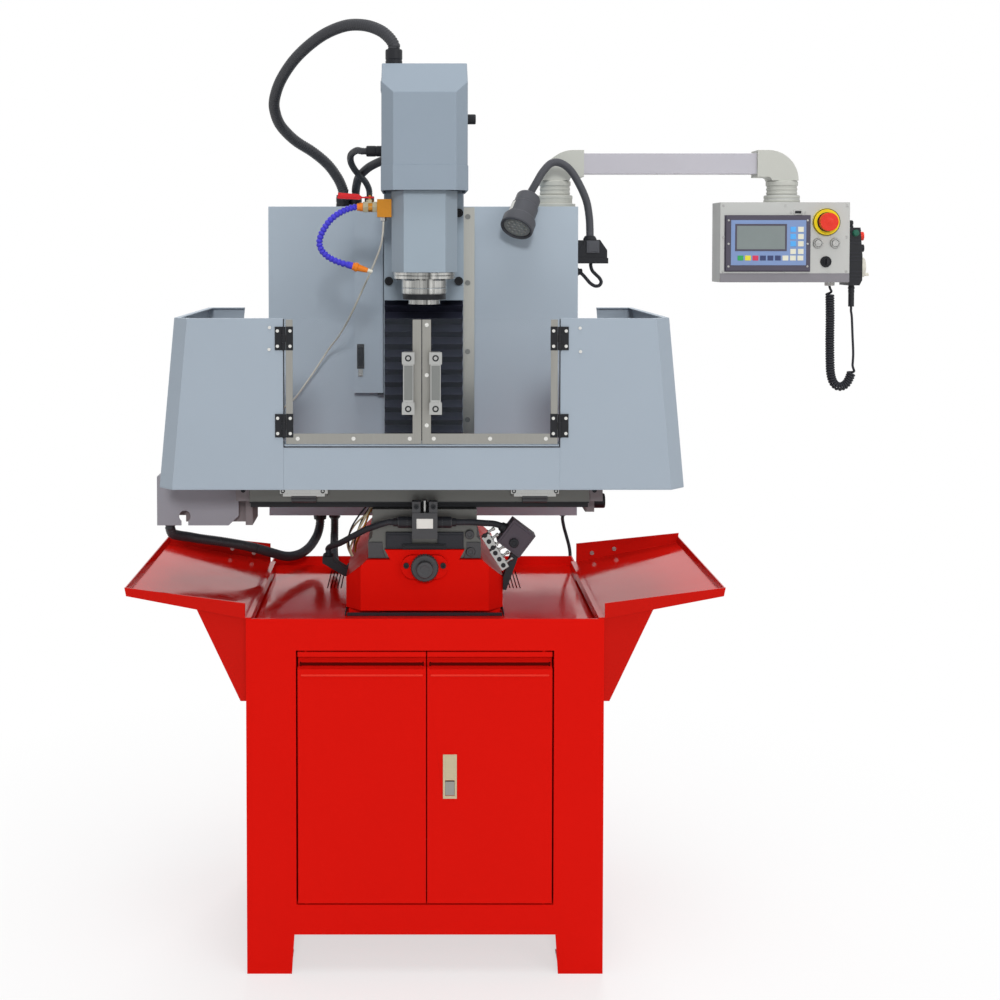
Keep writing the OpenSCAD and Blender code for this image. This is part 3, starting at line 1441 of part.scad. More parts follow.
stand_shell();
stand_front();
stand_tray();
tray_left();
tray_right();
machine_base();
column();
electrics_box();
bellows();
y_bearing();
axis_motors();
arm_base();
lamp_stem();
lamp_head();
box_fittings();
spindle_conduit();
head_leads();
table_hose();
coolant_tube();
saddle_leads();
cabinet_door_left();
cabinet_door_right();
lock_paddle();
hatch();
hatch_latch();
y_screw();
z_screw();
x_screw();
saddle();
junction_block();
table();
table_ends();
x_motor_cover();
guard_left();
guard_right();
guard_floor();
guard_hinges();
left_pane();
left_fittings();
right_pane();
right_fittings();
head_casting();
motor_cover();
spindle_motor();
spindle();
head_fittings();
valve_lever();
coolant_hose();
arm();
panel_housing();
controller();
stop_button();
start_button();
reset_button();
key_switch();
pendant_body();
pendant_dial();
pendant_stop();
pendant_knob();
pendant_cord();
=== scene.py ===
"""Looks of the small CNC machining centre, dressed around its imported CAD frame."""

import json
import math

import bmesh
import bpy
from mathutils import Matrix, Vector

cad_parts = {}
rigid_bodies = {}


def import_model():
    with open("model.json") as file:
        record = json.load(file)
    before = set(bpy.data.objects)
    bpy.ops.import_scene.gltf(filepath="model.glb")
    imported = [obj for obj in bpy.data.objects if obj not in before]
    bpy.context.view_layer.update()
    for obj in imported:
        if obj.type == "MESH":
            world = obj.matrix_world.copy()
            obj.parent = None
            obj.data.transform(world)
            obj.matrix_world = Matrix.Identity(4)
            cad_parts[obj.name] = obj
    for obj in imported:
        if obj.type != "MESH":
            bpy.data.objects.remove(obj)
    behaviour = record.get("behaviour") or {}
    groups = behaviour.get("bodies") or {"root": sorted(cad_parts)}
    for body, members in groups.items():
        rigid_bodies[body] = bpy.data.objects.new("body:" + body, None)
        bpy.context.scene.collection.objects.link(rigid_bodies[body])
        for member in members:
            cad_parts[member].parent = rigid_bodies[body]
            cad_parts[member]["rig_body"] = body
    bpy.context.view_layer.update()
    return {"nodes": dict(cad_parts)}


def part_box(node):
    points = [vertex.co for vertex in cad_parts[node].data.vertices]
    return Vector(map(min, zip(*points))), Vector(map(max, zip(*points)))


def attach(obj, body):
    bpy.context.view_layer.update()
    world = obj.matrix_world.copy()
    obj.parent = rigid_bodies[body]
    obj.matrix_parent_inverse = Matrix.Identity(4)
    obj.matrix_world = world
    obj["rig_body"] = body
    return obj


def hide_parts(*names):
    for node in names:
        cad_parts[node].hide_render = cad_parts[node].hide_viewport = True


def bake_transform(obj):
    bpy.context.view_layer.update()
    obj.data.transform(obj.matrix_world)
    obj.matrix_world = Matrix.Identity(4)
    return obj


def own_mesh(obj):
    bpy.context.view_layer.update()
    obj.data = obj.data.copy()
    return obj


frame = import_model()
MM = 0.001


# Materials: cells of noise per metre, and the drift of bare metal's shade

PAINT_DRIFT, PAINT_GLOSS, PLASTIC_DRIFT = 7.0, 22.0, 30.0
METAL_DRIFT = 0.12


def rgb(code):
    """A colour written as in a paint chart, as Blender's linear numbers."""
    parts = [int(code[i : i + 2], 16) / 255 for i in (1, 3, 5)]
    return [c / 12.92 if c <= 0.04045 else ((c + 0.055) / 1.055) ** 2.4 for c in parts]


def set_inputs(node, **values):
    """Sets a node's inputs by name, with an underscore for each space."""
    for name, value in values.items():
        node.inputs[name.replace("_", " ")].default_value = value


def add_node(tree, kind, links=None, **settings):
    """A node in a tree: settings by attribute or input name, links from other sockets by input name."""
    made = tree.nodes.new(kind)
    for name, value in settings.items():
        if hasattr(made, name):
            setattr(made, name, value)
        else:
            set_inputs(made, **{name: value})
    for name, source in (links or {}).items():
        tree.links.new(source, made.inputs[name])
    return made


def arithmetic(tree, operation, first, second):
    """The outcome of a sum on two sockets, or on a socket and a number."""
    made = add_node(tree, "ShaderNodeMath", {0: first}, operation=operation)
    if isinstance(second, (int, float)):
        made.inputs[1].default_value = second
    else:
        tree.links.new(second, made.inputs[1])
    return made.outputs[0]


def new_material(name):
    material = bpy.data.materials.new(name)
    material.use_nodes = True
    tree = material.node_tree
    return material, tree, tree.nodes["Principled BSDF"]


def object_noise(tree, scale, detail=3.0, stretch=(1, 1, 1)):
    """Noise fixed to the piece, in cells per metre, stretched along its axes."""
    place = add_node(tree, "ShaderNodeTexCoord")
    mapped = add_node(tree, "ShaderNodeMapping", {"Vector": place.outputs["Object"]}, Scale=stretch)
    noise = add_node(tree, "ShaderNodeTexNoise", {"Vector": mapped.outputs["Vector"]}, Scale=scale, Detail=detail)
    return noise.outputs["Fac"]


def mix_colour(tree, shader, dark, light, factor):
    """Lets the base colour go from one shade to another with a factor."""
    mix = add_node(tree, "ShaderNodeMix", {"Factor": factor}, data_type="RGBA")
    mix.inputs[6].default_value = (*dark, 1)
    mix.inputs[7].default_value = (*light, 1)
    tree.links.new(mix.outputs[2], shader.inputs["Base Color"])


def drift_colour(tree, shader, code, drift, noise):
    """Lets the base colour drift a little to both sides of a paint chart's colour."""
    dark, light = ([min(1.0, c * factor) for c in rgb(code)] for factor in (1 - drift, 1 + drift))
    mix_colour(tree, shader, dark, light, noise)


def vary_roughness(tree, shader, low, high, noise):
    """Lets the roughness follow the middle part of the noise."""
    ramp = add_node(
        tree, "ShaderNodeMapRange", {"Value": noise}, From_Min=0.3, From_Max=0.7, To_Min=low, To_Max=high
    )
    tree.links.new(ramp.outputs["Result"], shader.inputs["Roughness"])


def bump(tree, shader, noise, strength, depth):
    made = add_node(tree, "ShaderNodeBump", {"Height": noise}, Strength=strength, Distance=depth)
    tree.links.new(made.outputs["Normal"], shader.inputs["Normal"])


def paint(name, code, roughness, drift=0.05, peel=260.0, gloss=(0.25, "#ffffff"), relief=0.04):
    """Sprayed enamel: an even colour with a faint drift and orange peel. Gloss is a strength and a tint."""
    material, tree, shader = new_material(name)
    drift_colour(tree, shader, code, drift, object_noise(tree, PAINT_DRIFT))
    vary_roughness(tree, shader, roughness - 0.05, roughness + 0.06, object_noise(tree, PAINT_GLOSS))
    bump(tree, shader, object_noise(tree, peel, 2.0), relief, 0.0001)
    set_inputs(shader, Specular_IOR_Level=gloss[0], Specular_Tint=(*rgb(gloss[1]), 1))
    return material


def metal(name, code, roughness, grain=(1, 1, 1), grain_scale=60.0, metallic=1.0):
    """Bare metal with a grain that runs along the axes where it is stretched least."""
    material, tree, shader = new_material(name)
    lines = object_noise(tree, grain_scale, 4.0, grain)
    drift_colour(tree, shader, code, METAL_DRIFT, lines)
    vary_roughness(tree, shader, roughness - 0.08, roughness + 0.1, lines)
    bump(tree, shader, lines, 0.25, 0.0001)
    set_inputs(shader, Metallic=metallic)
    return material


def plastic(name, code, roughness, grain=420.0, drift=0.08, depth=0.0002, gloss=0.3):
    """Moulded plastic or rubber with a fine even grain."""
    material, tree, shader = new_material(name)
    fine = object_noise(tree, grain, 2.0)
    drift_colour(tree, shader, code, drift, object_noise(tree, PLASTIC_DRIFT))
    vary_roughness(tree, shader, roughness - 0.06, roughness + 0.06, fine)
    bump(tree, shader, fine, 0.2, depth)
    set_inputs(shader, Specular_IOR_Level=gloss)
    return material


def banded_reflection_metal(name, dark, light, roughness, axis_at):
    """Steel from the lathe with painted reflections: bands of dark and light round an upright axis, given in metres,
    stand in for the streaks its turned surface reflects.
    """
    material, tree, shader = new_material(name)
    place = add_node(tree, "ShaderNodeTexCoord")
    centred = add_node(
        tree, "ShaderNodeMapping", {"Vector": place.outputs["Object"]}, Location=(-axis_at[0], -axis_at[1], 0)
    )
    angle = add_node(tree, "ShaderNodeTexGradient", {"Vector": centred.outputs["Vector"]}, gradient_type="RADIAL")
    painted_bands = add_node(
        tree, "ShaderNodeTexNoise", {"W": angle.outputs["Fac"]}, noise_dimensions="1D", Scale=13.0, Detail=3.0
    ).outputs["Fac"]
    contrast = add_node(tree, "ShaderNodeMapRange", {"Value": painted_bands}, From_Min=0.34, From_Max=0.66)
    mix_colour(tree, shader, rgb(dark), rgb(light), contrast.outputs["Result"])
    vary_roughness(tree, shader, roughness - 0.05, roughness + 0.08, painted_bands)
    set_inputs(shader, Metallic=1.0)
    return material


def clear_sheet(name):
    """Clear polycarbonate, faintly grey, with wiping marks in its gloss."""
    material, tree, shader = new_material(name)
    marks = object_noise(tree, 14.0, 5.0, (1, 1, 3))
    mix_colour(tree, shader, rgb("#9fabb5"), rgb("#b0bac2"), marks)
    vary_roughness(tree, shader, 0.03, 0.12, marks)
    set_inputs(shader, Alpha=0.02, IOR=1.45)
    return material


# Strength and tint of the reds' sheen; stretch and scale of the metals' grain
RED_SHEEN, DULL_SHEEN = (0.14, "#f2402f"), (0.02, "#f2402f")
BRUSHED, DRAWN = ((60, 60, 1.5), 14.0), ((1, 1, 25), 30.0)
red_enamel = paint("red_enamel", "#d2150e", 0.22, drift=0.02, gloss=RED_SHEEN, relief=0.004)
tray_enamel = paint("tray_enamel", "#bd130d", 0.1, drift=0.02, gloss=(0.38, "#f56a58"), relief=0.002)
# A brighter, glossier copy of the red for the chip tray: painted light, as the tray lies in shade under the guard and
# table
chip_painted_light_enamel = paint("chip_painted_light_enamel", "#d8160e", 0.1, drift=0.02, gloss=(0.3, "#f5503f"), relief=0.002)
# Dark red painted as the shadow inside the doors' finger grips
grip_painted_shadow = paint("grip_painted_shadow", "#4d0806", 0.6, gloss=DULL_SHEEN)
# Lighter red painted as the highlight along the grips' folds
fold_highlight_enamel = paint("fold_highlight_enamel", "#e0382c", 0.3, gloss=RED_SHEEN)
base_enamel = paint("base_enamel", "#d6160e", 0.36, drift=0.02, gloss=DULL_SHEEN, relief=0.004)
grey_enamel = paint("blue_grey_enamel", "#9da8b3", 0.42, drift=0.025)
x_cover_enamel = paint("x_cover_enamel", "#8f8e95", 0.45, drift=0.025)
end_casting = paint("end_casting", "#7d7678", 0.55, drift=0.06)
# A lighter copy of the blue-grey for the box, column and hatch: painted light against the shade they stand in behind
# the guard and head
box_painted_light_enamel = paint("box_grey_painted_light", "#acb8c3", 0.42, drift=0.025)
head_enamel = paint("head_grey_enamel", "#98a5b0", 0.42, drift=0.025)
cover_enamel = paint("cover_grey_enamel", "#8c98a4", 0.4, drift=0.025)
cast_enamel = paint("warm_grey_enamel", "#bcbdb6", 0.45, peel=180.0)
lilac_enamel = paint("lilac_grey_enamel", "#b8b6bd", 0.4)
panel_enamel = paint("panel_enamel", "#bbbcb9", 0.5, drift=0.03, peel=500.0)
sill_enamel = paint("panel_sill_enamel", "#838186", 0.5, peel=500.0)
ground_iron = metal("ground_iron", "#62625f", 0.42, (1, 40, 40), 9.0, metallic=0.75)
dark_iron = metal("dark_iron", "#4a4a4c", 0.5, (1, 12, 12), 20.0, metallic=0.6)
bright_steel = metal("bright_steel", "#aeaeac", 0.28, *DRAWN)
zinc_screw = metal("zinc_screw", "#dededa", 0.24, *DRAWN)
# Painted reflections: light and dark bands round the spindle's axis
turned_steel_painted_bands = banded_reflection_metal("turned_steel_painted_bands", "#5c5d5c", "#dededa", 0.24, (0, -0.055))
brushed_stainless = metal("brushed_stainless", "#9b9a95", 0.36, *BRUSHED)
# A lighter copy of the brushed steel: painted light for the column strip, which stands in shade behind the panes
strip_steel_painted_light = metal("strip_steel_painted_light", "#b6b6b0", 0.36, *BRUSHED)
cast_silver = metal("cast_silver", "#b2b3b1", 0.34, *BRUSHED)
bar_steel = metal("bar_steel", "#858785", 0.38, *BRUSHED)
brass_alloy = metal("brass", "#c2822c", 0.36, grain_scale=90.0, metallic=0.8)
black_enamel = paint("black_enamel", "#232427", 0.42, gloss=(0.2, "#ffffff"))
black_plastic = plastic("black_plastic", "#1d1e22", 0.45)
black_rubber = plastic("black_rubber", "#26272c", 0.55, 300.0)
conduit_nylon = plastic("conduit_nylon", "#343539", 0.42, 200.0, gloss=0.4)
bellows_cloth = plastic("bellows_cloth", "#2b2d3b", 0.75, 900.0, 0.2, 0.0004, 0.12)
hose_blue = plastic("hose_blue", "#453fc6", 0.3, 150.0)
nozzle_orange = plastic("nozzle_orange", "#e27d22", 0.34)
tube_white = plastic("tube_white", "#d5d2c6", 0.35)
stop_red = plastic("stop_red", "#dc3424", 0.3)
lever_red = plastic("lever_red", "#c42228", 0.35)
champagne = metal("champagne_plate", "#c2b696", 0.42, (1, 1, 30), 24.0, metallic=0.5)
nickel = metal("nickel", "#b3ab90", 0.3)
label_white = plastic("label_white", "#dcdad4", 0.5)
lamp_black = plastic("lamp_black", "#4b4c51", 0.42, 240.0)
lens_grey = plastic("lens_grey", "#8a8e8c", 0.12, 60.0)
led_white = plastic("led_white", "#8d908c", 0.2)
bezel_grey = plastic("bezel_grey", "#4f4b57", 0.5)
switch_grey = plastic("switch_grey", "#473f47", 0.4, 260.0)
sheet_periwinkle = plastic("sheet_periwinkle", "#7d93bd", 0.45, 700.0, 0.05)
screen_grey = plastic("screen_grey", "#7f8887", 0.16, 900.0, 0.05, 0.00005)
key_sky = plastic("key_sky", "#58a9ea", 0.4)
key_cream = plastic("key_cream", "#dcdac8", 0.4)
key_green = plastic("key_green", "#3aa05a", 0.4)
key_yellow = plastic("key_yellow", "#dfd443", 0.4)
key_rose = plastic("key_rose", "#cb3c5a", 0.4)
key_navy = plastic("key_navy", "#3b4468", 0.4)
lamp_green = plastic("lamp_green", "#1f5a48", 0.3)
plate_yellow = plastic("plate_yellow", "#ecd21c", 0.4)
pipe_cream = plastic("pipe_cream", "#cfc3a2", 0.4)
pane_clear = clear_sheet("clear_pane")


# Meshes


def link_object(name, data):
    """A new object in the scene."""
    made = bpy.data.objects.new(name, data)
    bpy.context.scene.collection.objects.link(made)
    return made


def shade(mesh, angle):
    """Smooth shading with hard edges where faces meet at more than the angle."""
    for polygon in mesh.polygons:
        polygon.use_smooth = True
    mesh.set_sharp_from_angle(angle=math.radians(angle))


def add_piece(name, data, body, material, replaces=()):
    """A finished piece at the origin, which rides on a body where one is given."""
    piece = link_object(name, data)
    data.materials.clear()
    data.materials.append(material)
    if body is not None:
        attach(piece, body)
    if replaces:
        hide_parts(*replaces)
    return piece


def finished_mesh(piece):
    """The piece's mesh with its modifiers worked in, as a plain mesh; the piece is then removed."""
    graph = bpy.context.evaluated_depsgraph_get()
    mesh = bpy.data.meshes.new_from_object(piece.evaluated_get(graph))
    bpy.data.objects.remove(piece)
    return mesh


def worked(mesh, kind, **settings):
    """The mesh with one modifier worked in."""
    holder = link_object("work", mesh)
    modifier = holder.modifiers.new("work", kind)
    for name, value in settings.items():
        setattr(modifier, name, value)
    return finished_mesh(holder)


def bevelled(mesh, width):
    """The mesh with its sharp edges rounded and its flat faces kept flat."""
    rounded = worked(
        mesh, "BEVEL", width=width, segments=2, limit_method="ANGLE", angle_limit=math.radians(30),
        miter_outer="MITER_ARC",
    )
    shade(rounded, 50)
    return worked(rounded, "WEIGHTED_NORMAL", keep_sharp=True, weight=100)


def merged_copy(node):
    """A CAD node's mesh as one welded skin with its flat faces joined."""
    shape = bmesh.new()
    shape.from_mesh(frame["nodes"][node].data)
    bmesh.ops.remove_doubles(shape, verts=shape.verts, dist=2e-6)
    bmesh.ops.dissolve_limit(
        shape, angle_limit=math.radians(0.5), verts=shape.verts, edges=shape.edges, use_dissolve_boundaries=False
    )
    mesh = bpy.data.meshes.new(node + "_skin")
    shape.to_mesh(mesh)
    shape.free()
    return mesh


def body_of(node):
    return frame["nodes"][node]["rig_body"]


def add_finish(node, mesh, material, width):
    """Puts a mesh with rounded edges in the place of its CAD node."""
    add_piece(node + "_finish", bevelled(mesh, width * MM), body_of(node), material, [node])


# Rounded edges on the sheet metal, castings and moulded cases, in millimetres
SOFTENED = {
    "stand_shell": (red_enamel, 1.2),
    "stand_front": (red_enamel, 1.0),
    "tray_left": (tray_enamel, 0.8),
    "tray_right": (tray_enamel, 0.8),
    "machine_base": (base_enamel, 2.5),
    "y_bearing": (red_enamel, 1.2),
    "cabinet_door_left": (red_enamel, 0.8),
    "cabinet_door_right": (red_enamel, 0.8),
    # The column, box and hatch take the lightened blue-grey, which is painted light
    "column": (box_painted_light_enamel, 1.5),
    "electrics_box": (box_painted_light_enamel, 2.0),
    "hatch": (box_painted_light_enamel, 0.8),
    "x_motor_cover": (x_cover_enamel, 0.7),
    "guard_left": (grey_enamel, 0.7),
    "guard_right": (grey_enamel, 0.7),
    "guard_floor": (grey_enamel, 0.6),
    "head_casting": (head_enamel, 2.5),
    "motor_cover": (cover_enamel, 2.0),
    "arm_base": (cast_enamel, 1.5),
    "arm": (cast_enamel, 3.0),
    "panel_housing": (panel_enamel, 1.5),
    "saddle": (ground_iron, 1.5),
    "table": (ground_iron, 1.0),
    "table_ends": (end_casting, 1.2),
    "junction_block": (dark_iron, 1.2),
    "pendant_body": (black_plastic, 3.0),
    "lock_paddle": (brushed_stainless, 0.5),
}
# CAD nodes that keep their own mesh
PLAIN = {
    chip_painted_light_enamel: ("stand_tray",),
    black_enamel: ("axis_motors", "spindle_motor", "guard_hinges"),
    black_plastic: ("lamp_stem", "box_fittings", "hatch_latch", "controller", "key_switch", "pendant_knob"),
    bright_steel: ("y_screw", "z_screw", "x_screw", "start_button", "reset_button"),
    turned_steel_painted_bands: ("spindle",),
    pane_clear: ("left_pane", "right_pane"),
    brass_alloy: ("head_fittings",),
    lever_red: ("valve_lever",),
    hose_blue: ("coolant_hose",),
    stop_red: ("stop_button", "pendant_stop"),
    tube_white: ("pendant_dial",),
}
for node, (material, width) in SOFTENED.items():
    add_finish(node, merged_copy(node), material, width)
for material, nodes in PLAIN.items():
    for node in nodes:
        slots = frame["nodes"][node].data.materials
        slots.clear()
        slots.append(material)


# Cords: routes in millimetres, those of the CAD solids first

SPINDLE_ROUTE = [
    (-60, -40, 1737), (-60, -40, 1742), (-60, -40, 1747), (-68, -38, 1760), (-84, -31, 1775),
    (-110, -15, 1788), (-140, 5, 1794), (-168, 28, 1793), (-204, 60, 1783), (-241, 95, 1763),
    (-275, 130, 1736), (-304, 165, 1700), (-320, 200, 1665), (-321, 226, 1640), (-311, 252, 1613),
    (-283, 282, 1584), (-245, 307, 1560), (-213, 326, 1533), (-191, 338, 1502), (-180, 345, 1476),
    (-180, 345, 1471), (-180, 345, 1466),
]
HEAD_ROUTE = [
    (-115, 0, 1541), (-120, 0, 1541), (-125, 0, 1541), (-136, 10, 1543), (-149, 50, 1537),
    (-152, 110, 1526), (-147, 180, 1514), (-138, 240, 1504), (-128, 285, 1493), (-122, 308, 1481),
    (-120, 315, 1472), (-120, 315, 1467), (-120, 315, 1462),
]
Z_MOTOR_ROUTE = [
    (-60, 165, 1535), (-65, 165, 1535), (-70, 165, 1535), (-82, 173, 1535), (-112, 206, 1524),
    (-130, 240, 1513), (-143, 285, 1502), (-149, 325, 1488), (-151, 342, 1481), (-152, 350, 1474),
    (-152, 350, 1469), (-152, 350, 1464),
]
TABLE_ROUTE = [
    (-233, 330, 734), (-233, 330, 729), (-233, 330, 724), (-235, 320, 711), (-240, 298, 698),
    (-252, 250, 686), (-270, 195, 683), (-294, 150, 689), (-322, 110, 706), (-352, 80, 722),
    (-382, 58, 734), (-420, 38, 745), (-456, 20, 754), (-478, 2, 762), (-493, -23, 770), (-502, -42, 778),
    (-505, -50, 790), (-505, -50, 795), (-505, -50, 800),
]
COOLANT_ROUTE = [
    (-80, -72, 1407), (-80, -72, 1402), (-80, -72, 1397), (-82, -62, 1372), (-88, -42, 1345),
    (-107, -8, 1300), (-128, 32, 1256), (-153, 80, 1205), (-180, 160, 1160), (-205, 215, 1128),
    (-240, 236, 1075), (-281, 247, 1018), (-301, 251.5, 1001), (-308, 253, 990), (-308, 253, 985),
    (-308, 253, 980),
]
LEFT_LEAD_ROUTE = [
    (-59, -175, 827), (-64, -175, 827), (-69, -175, 827), (-82, -173, 823), (-98, -165, 816),
    (-112, -155, 809), (-140, -130, 790), (-165, -100, 771), (-181, -76, 761), (-190, -60, 752),
    (-190, -60, 747), (-190, -60, 742),
]
RIGHT_LEAD_ROUTE = [
    (59, -175, 827), (64, -175, 827), (69, -175, 827), (82, -173, 827), (98, -167, 825), (114, -158, 822),
    (133, -144, 818), (147.25, -132, 811.67), (151.25, -132, 808.66), (155.24, -132, 805.65),
]
PENDANT_ROUTE = [
    (915, 330, 1262), (915, 330, 1257), (915, 330, 1252), (916, 330, 1240), (917, 330, 1190),
    (917, 330, 1140), (918, 330, 1090), (920, 330, 1062), (927, 330, 1042), (940, 330, 1034),
    (955, 330, 1041), (965, 330, 1062), (969, 330, 1085),
]
PENDANT_LEAD_ROUTE = [
    (969, 330, 1085), (970, 330, 1110), (968, 330, 1150), (966, 330, 1190), (964, 330, 1205),
    (964, 330, 1210), (964, 330, 1215),
]
LAMP_ROUTE = [
    (370, 290, 1366), (370, 290, 1385), (368, 287, 1415), (361, 281, 1450), (345, 273, 1485), (323, 264, 1518),
    (300, 256, 1533), (280, 250, 1532), (261, 245, 1513), (247, 242, 1490), (235.4, 241.5, 1469.6),
    (232.4, 236.6, 1462.8),
]
LAMP_LEAD_ROUTE = [
    (372, 290, 1312.4), (372.6, 290, 1305), (376, 290, 1296), (384, 290, 1287.5), (392, 290, 1279.5),
    (395.5, 290, 1271), (391, 290, 1263.5), (381.5, 290, 1262.5), (371.5, 290, 1268.5), (363, 290, 1278),
    (355, 290, 1287), (348, 290, 1292.6), (341.6, 290, 1294),
]
BASE_HOSE_ROUTE = [
    (-200, 330, 736), (-200, 330, 731), (-200, 330, 726), (-200, 328, 712), (-200, 318, 698), (-199, 295, 689),
    (-197, 250, 685), (-194, 200, 683), (-190, 150, 682), (-185, 112, 682), (-178, 86, 682), (-170, 70, 682),
    (-164, 62, 682), (-160, 60, 682), (-156, 60, 682),
]
SUPPLY_ROUTE = [
    (316, 330, 742), (316, 330, 737), (316, 330, 732), (319, 327, 715), (324, 317, 695), (329, 304, 672),
    (330, 299, 645), (325, 299, 618), (313, 298, 600), (303, 293, 592), (300, 286, 590), (300, 281, 590),
    (300, 276, 590),
]
# Diameter, material and route of each
OIL_LINES = (
    (
        4.2, pipe_cream,
        [(-100, -64, 838), (-106, -66, 834), (-122, -72, 806), (-138, -70, 776), (-146, -62, 752), (-142, -55, 736)],
    ),
    (
        3.4, black_rubber,
        [(-100, -56, 842), (-110, -58, 840), (-131, -60, 815), (-147, -54, 786), (-150, -47, 757), (-144, -44, 734)],
    ),
    (
        4.2, brass_alloy,
        [(-100, -48, 830), (-108, -50, 824), (-117, -54, 800), (-128, -52, 777), (-136, -44, 757), (-138, -38, 740)],
    ),
    (
        3.4, pipe_cream,
        [(-100, -40, 822), (-112, -40, 818), (-136, -38, 797), (-152, -34, 770), (-153, -30, 748), (-146, -28, 730)],
    ),
    (
        3.4, black_rubber,
        [(-100, -32, 834), (-107, -32, 830), (-121, -30, 810), (-131, -26, 786), (-139, -22, 760), (-140, -20, 738)],
    ),
)


def smooth_route(points, steps=6):
    """Points in metres on the smooth curve through a route, as the CAD sweeps it."""
    route = [Vector(p) * MM for p in points]
    last = len(route) - 1
    made = []
    for i in range(last):
        a, b, c, d = route[max(i - 1, 0)], route[i], route[i + 1], route[min(i + 2, last)]
        for k in range(steps):
            t = k / steps
            made.append(
                0.5 * (2 * b + (c - a) * t + (2 * a - 5 * b + 4 * c - d) * t**2 + (3 * b - a - 3 * c + d) * t**3)
            )
    return made + [route[last]]


def route_length(points):
    return sum((b - a).length for a, b in zip(points, points[1:]))


def point_mesh(name, points, edges=()):
    """A mesh of bare points, or of edges between them, for a tree to build on."""
    mesh = bpy.data.meshes.new(name)
    mesh.from_pydata([tuple(p) for p in points], edges, [])
    return mesh


def new_geometry_tree(name, sizes):
    """A Geometry Nodes tree with a geometry in and out, the named sizes and a material."""
    tree = bpy.data.node_groups.new(name, "GeometryNodeTree")
    tree.interface.new_socket("Geometry", in_out="INPUT", socket_type="NodeSocketGeometry")
    for label in sizes:
        tree.interface.new_socket(label, in_out="INPUT", socket_type="NodeSocketFloat")
    tree.interface.new_socket("Material", in_out="INPUT", socket_type="NodeSocketMaterial")
    tree.interface.new_socket("Geometry", in_out="OUTPUT", socket_type="NodeSocketGeometry")
    return tree, tree.nodes.new("NodeGroupInput").outputs


def finish_tree(tree, geometry, material):
    """Ends a tree in plain geometry with its material."""
    real = add_node(tree, "GeometryNodeRealizeInstances", {"Geometry": geometry})
    painted = add_node(tree, "GeometryNodeSetMaterial", {"Geometry": real.outputs[0], "Material": material})
    add_node(tree, "NodeGroupOutput", {0: painted.outputs[0]})
    return tree


def run_tree(mesh, tree, sizes, material, angle):
    """The mesh that a tree makes from another, with sizes in millimetres, shaded smooth up to an angle."""
    work = link_object(mesh.name, mesh)
    modifier = work.modifiers.new(tree.name, "NODES")
    modifier.node_group = tree
    inputs = [item.identifier for item in tree.interface.items_tree if item.in_out == "INPUT"]
    for identifier, value in zip(inputs[1:], [size * MM for size in sizes] + [material]):
        modifier[identifier] = value
    made = finished_mesh(work)
    shade(made, angle)
    return made


TUBE_SIDES = 18


def build_conduit_tree():
    """Sweeps a ribbed tube along a polyline: ribs and grooves of equal length."""
    tree, given = new_geometry_tree("ribbed_conduit", ("Diameter", "Rib pitch", "Rib depth"))
    line = add_node(tree, "GeometryNodeMeshToCurve", {"Mesh": given["Geometry"]})
    quarter = arithmetic(tree, "MULTIPLY", given["Rib pitch"], 0.25)
    rings = add_node(
        tree, "GeometryNodeResampleCurve", {"Curve": line.outputs[0], "Length": quarter}, mode="LENGTH"
    )
    index = add_node(tree, "GeometryNodeInputIndex")
    phase = arithmetic(tree, "MODULO", index.outputs[0], 4)
    groove = arithmetic(tree, "LESS_THAN", phase, 1.5)
    sunk = arithmetic(tree, "MULTIPLY", groove, given["Rib depth"])
    half = arithmetic(tree, "MULTIPLY", given["Diameter"], 0.5)
    radius = arithmetic(tree, "SUBTRACT", half, sunk)
    profile = add_node(tree, "GeometryNodeCurvePrimitiveCircle", Resolution=TUBE_SIDES, Radius=1.0)
    swept = add_node(
        tree, "GeometryNodeCurveToMesh",
        {"Curve": rings.outputs[0], "Profile Curve": profile.outputs[0], "Scale": radius}, Fill_Caps=True,
    )
    return finish_tree(tree, swept.outputs[0], given["Material"])


conduit_tree = build_conduit_tree()
# Pitch and depth of the ribs
SMOOTH = (4.0, 0.0)
FINE_RIBS = (3.2, 0.5)
HOSE_RIBS = (4.6, 0.9)
LEAD_RIBS = (4.4, 0.9)


def sweep(name, line, diameter, material, rib, body=None, replaces=()):
    """A tube swept along a line of points, with ribs of a pitch and a depth. Sizes in millimetres."""
    edges = [(i, i + 1) for i in range(len(line) - 1)]
    sizes = (diameter, *rib)
    mesh = run_tree(point_mesh(name + "_line", line, edges), conduit_tree, sizes, material, 50)
    return add_piece(name, mesh, body, material, replaces)


def fixed_cord(name, line, diameter, material, rib):
    """A cord with both ends on the machine's base."""
    sweep(name, line, diameter, material, rib, "base")


def moving_cord(name, line, diameter, material, rib, replaces=()):
    """A cord swept along a line of points and left on no body, its place baked into its mesh."""
    cord = sweep(name, line, diameter, material, rib, None, replaces)
    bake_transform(cord)


moving_cord(
    "spindle_conduit_ribs", smooth_route(SPINDLE_ROUTE), 24, conduit_nylon, (5.0, 1.1),
    ["spindle_conduit"],
)
moving_cord(
    "head_lead_ribs", smooth_route(HEAD_ROUTE), 14, conduit_nylon, (3.6, 0.7),
    ["head_leads"],
)
fixed_cord("z_motor_lead_ribs", smooth_route(Z_MOTOR_ROUTE), 19, conduit_nylon, LEAD_RIBS)

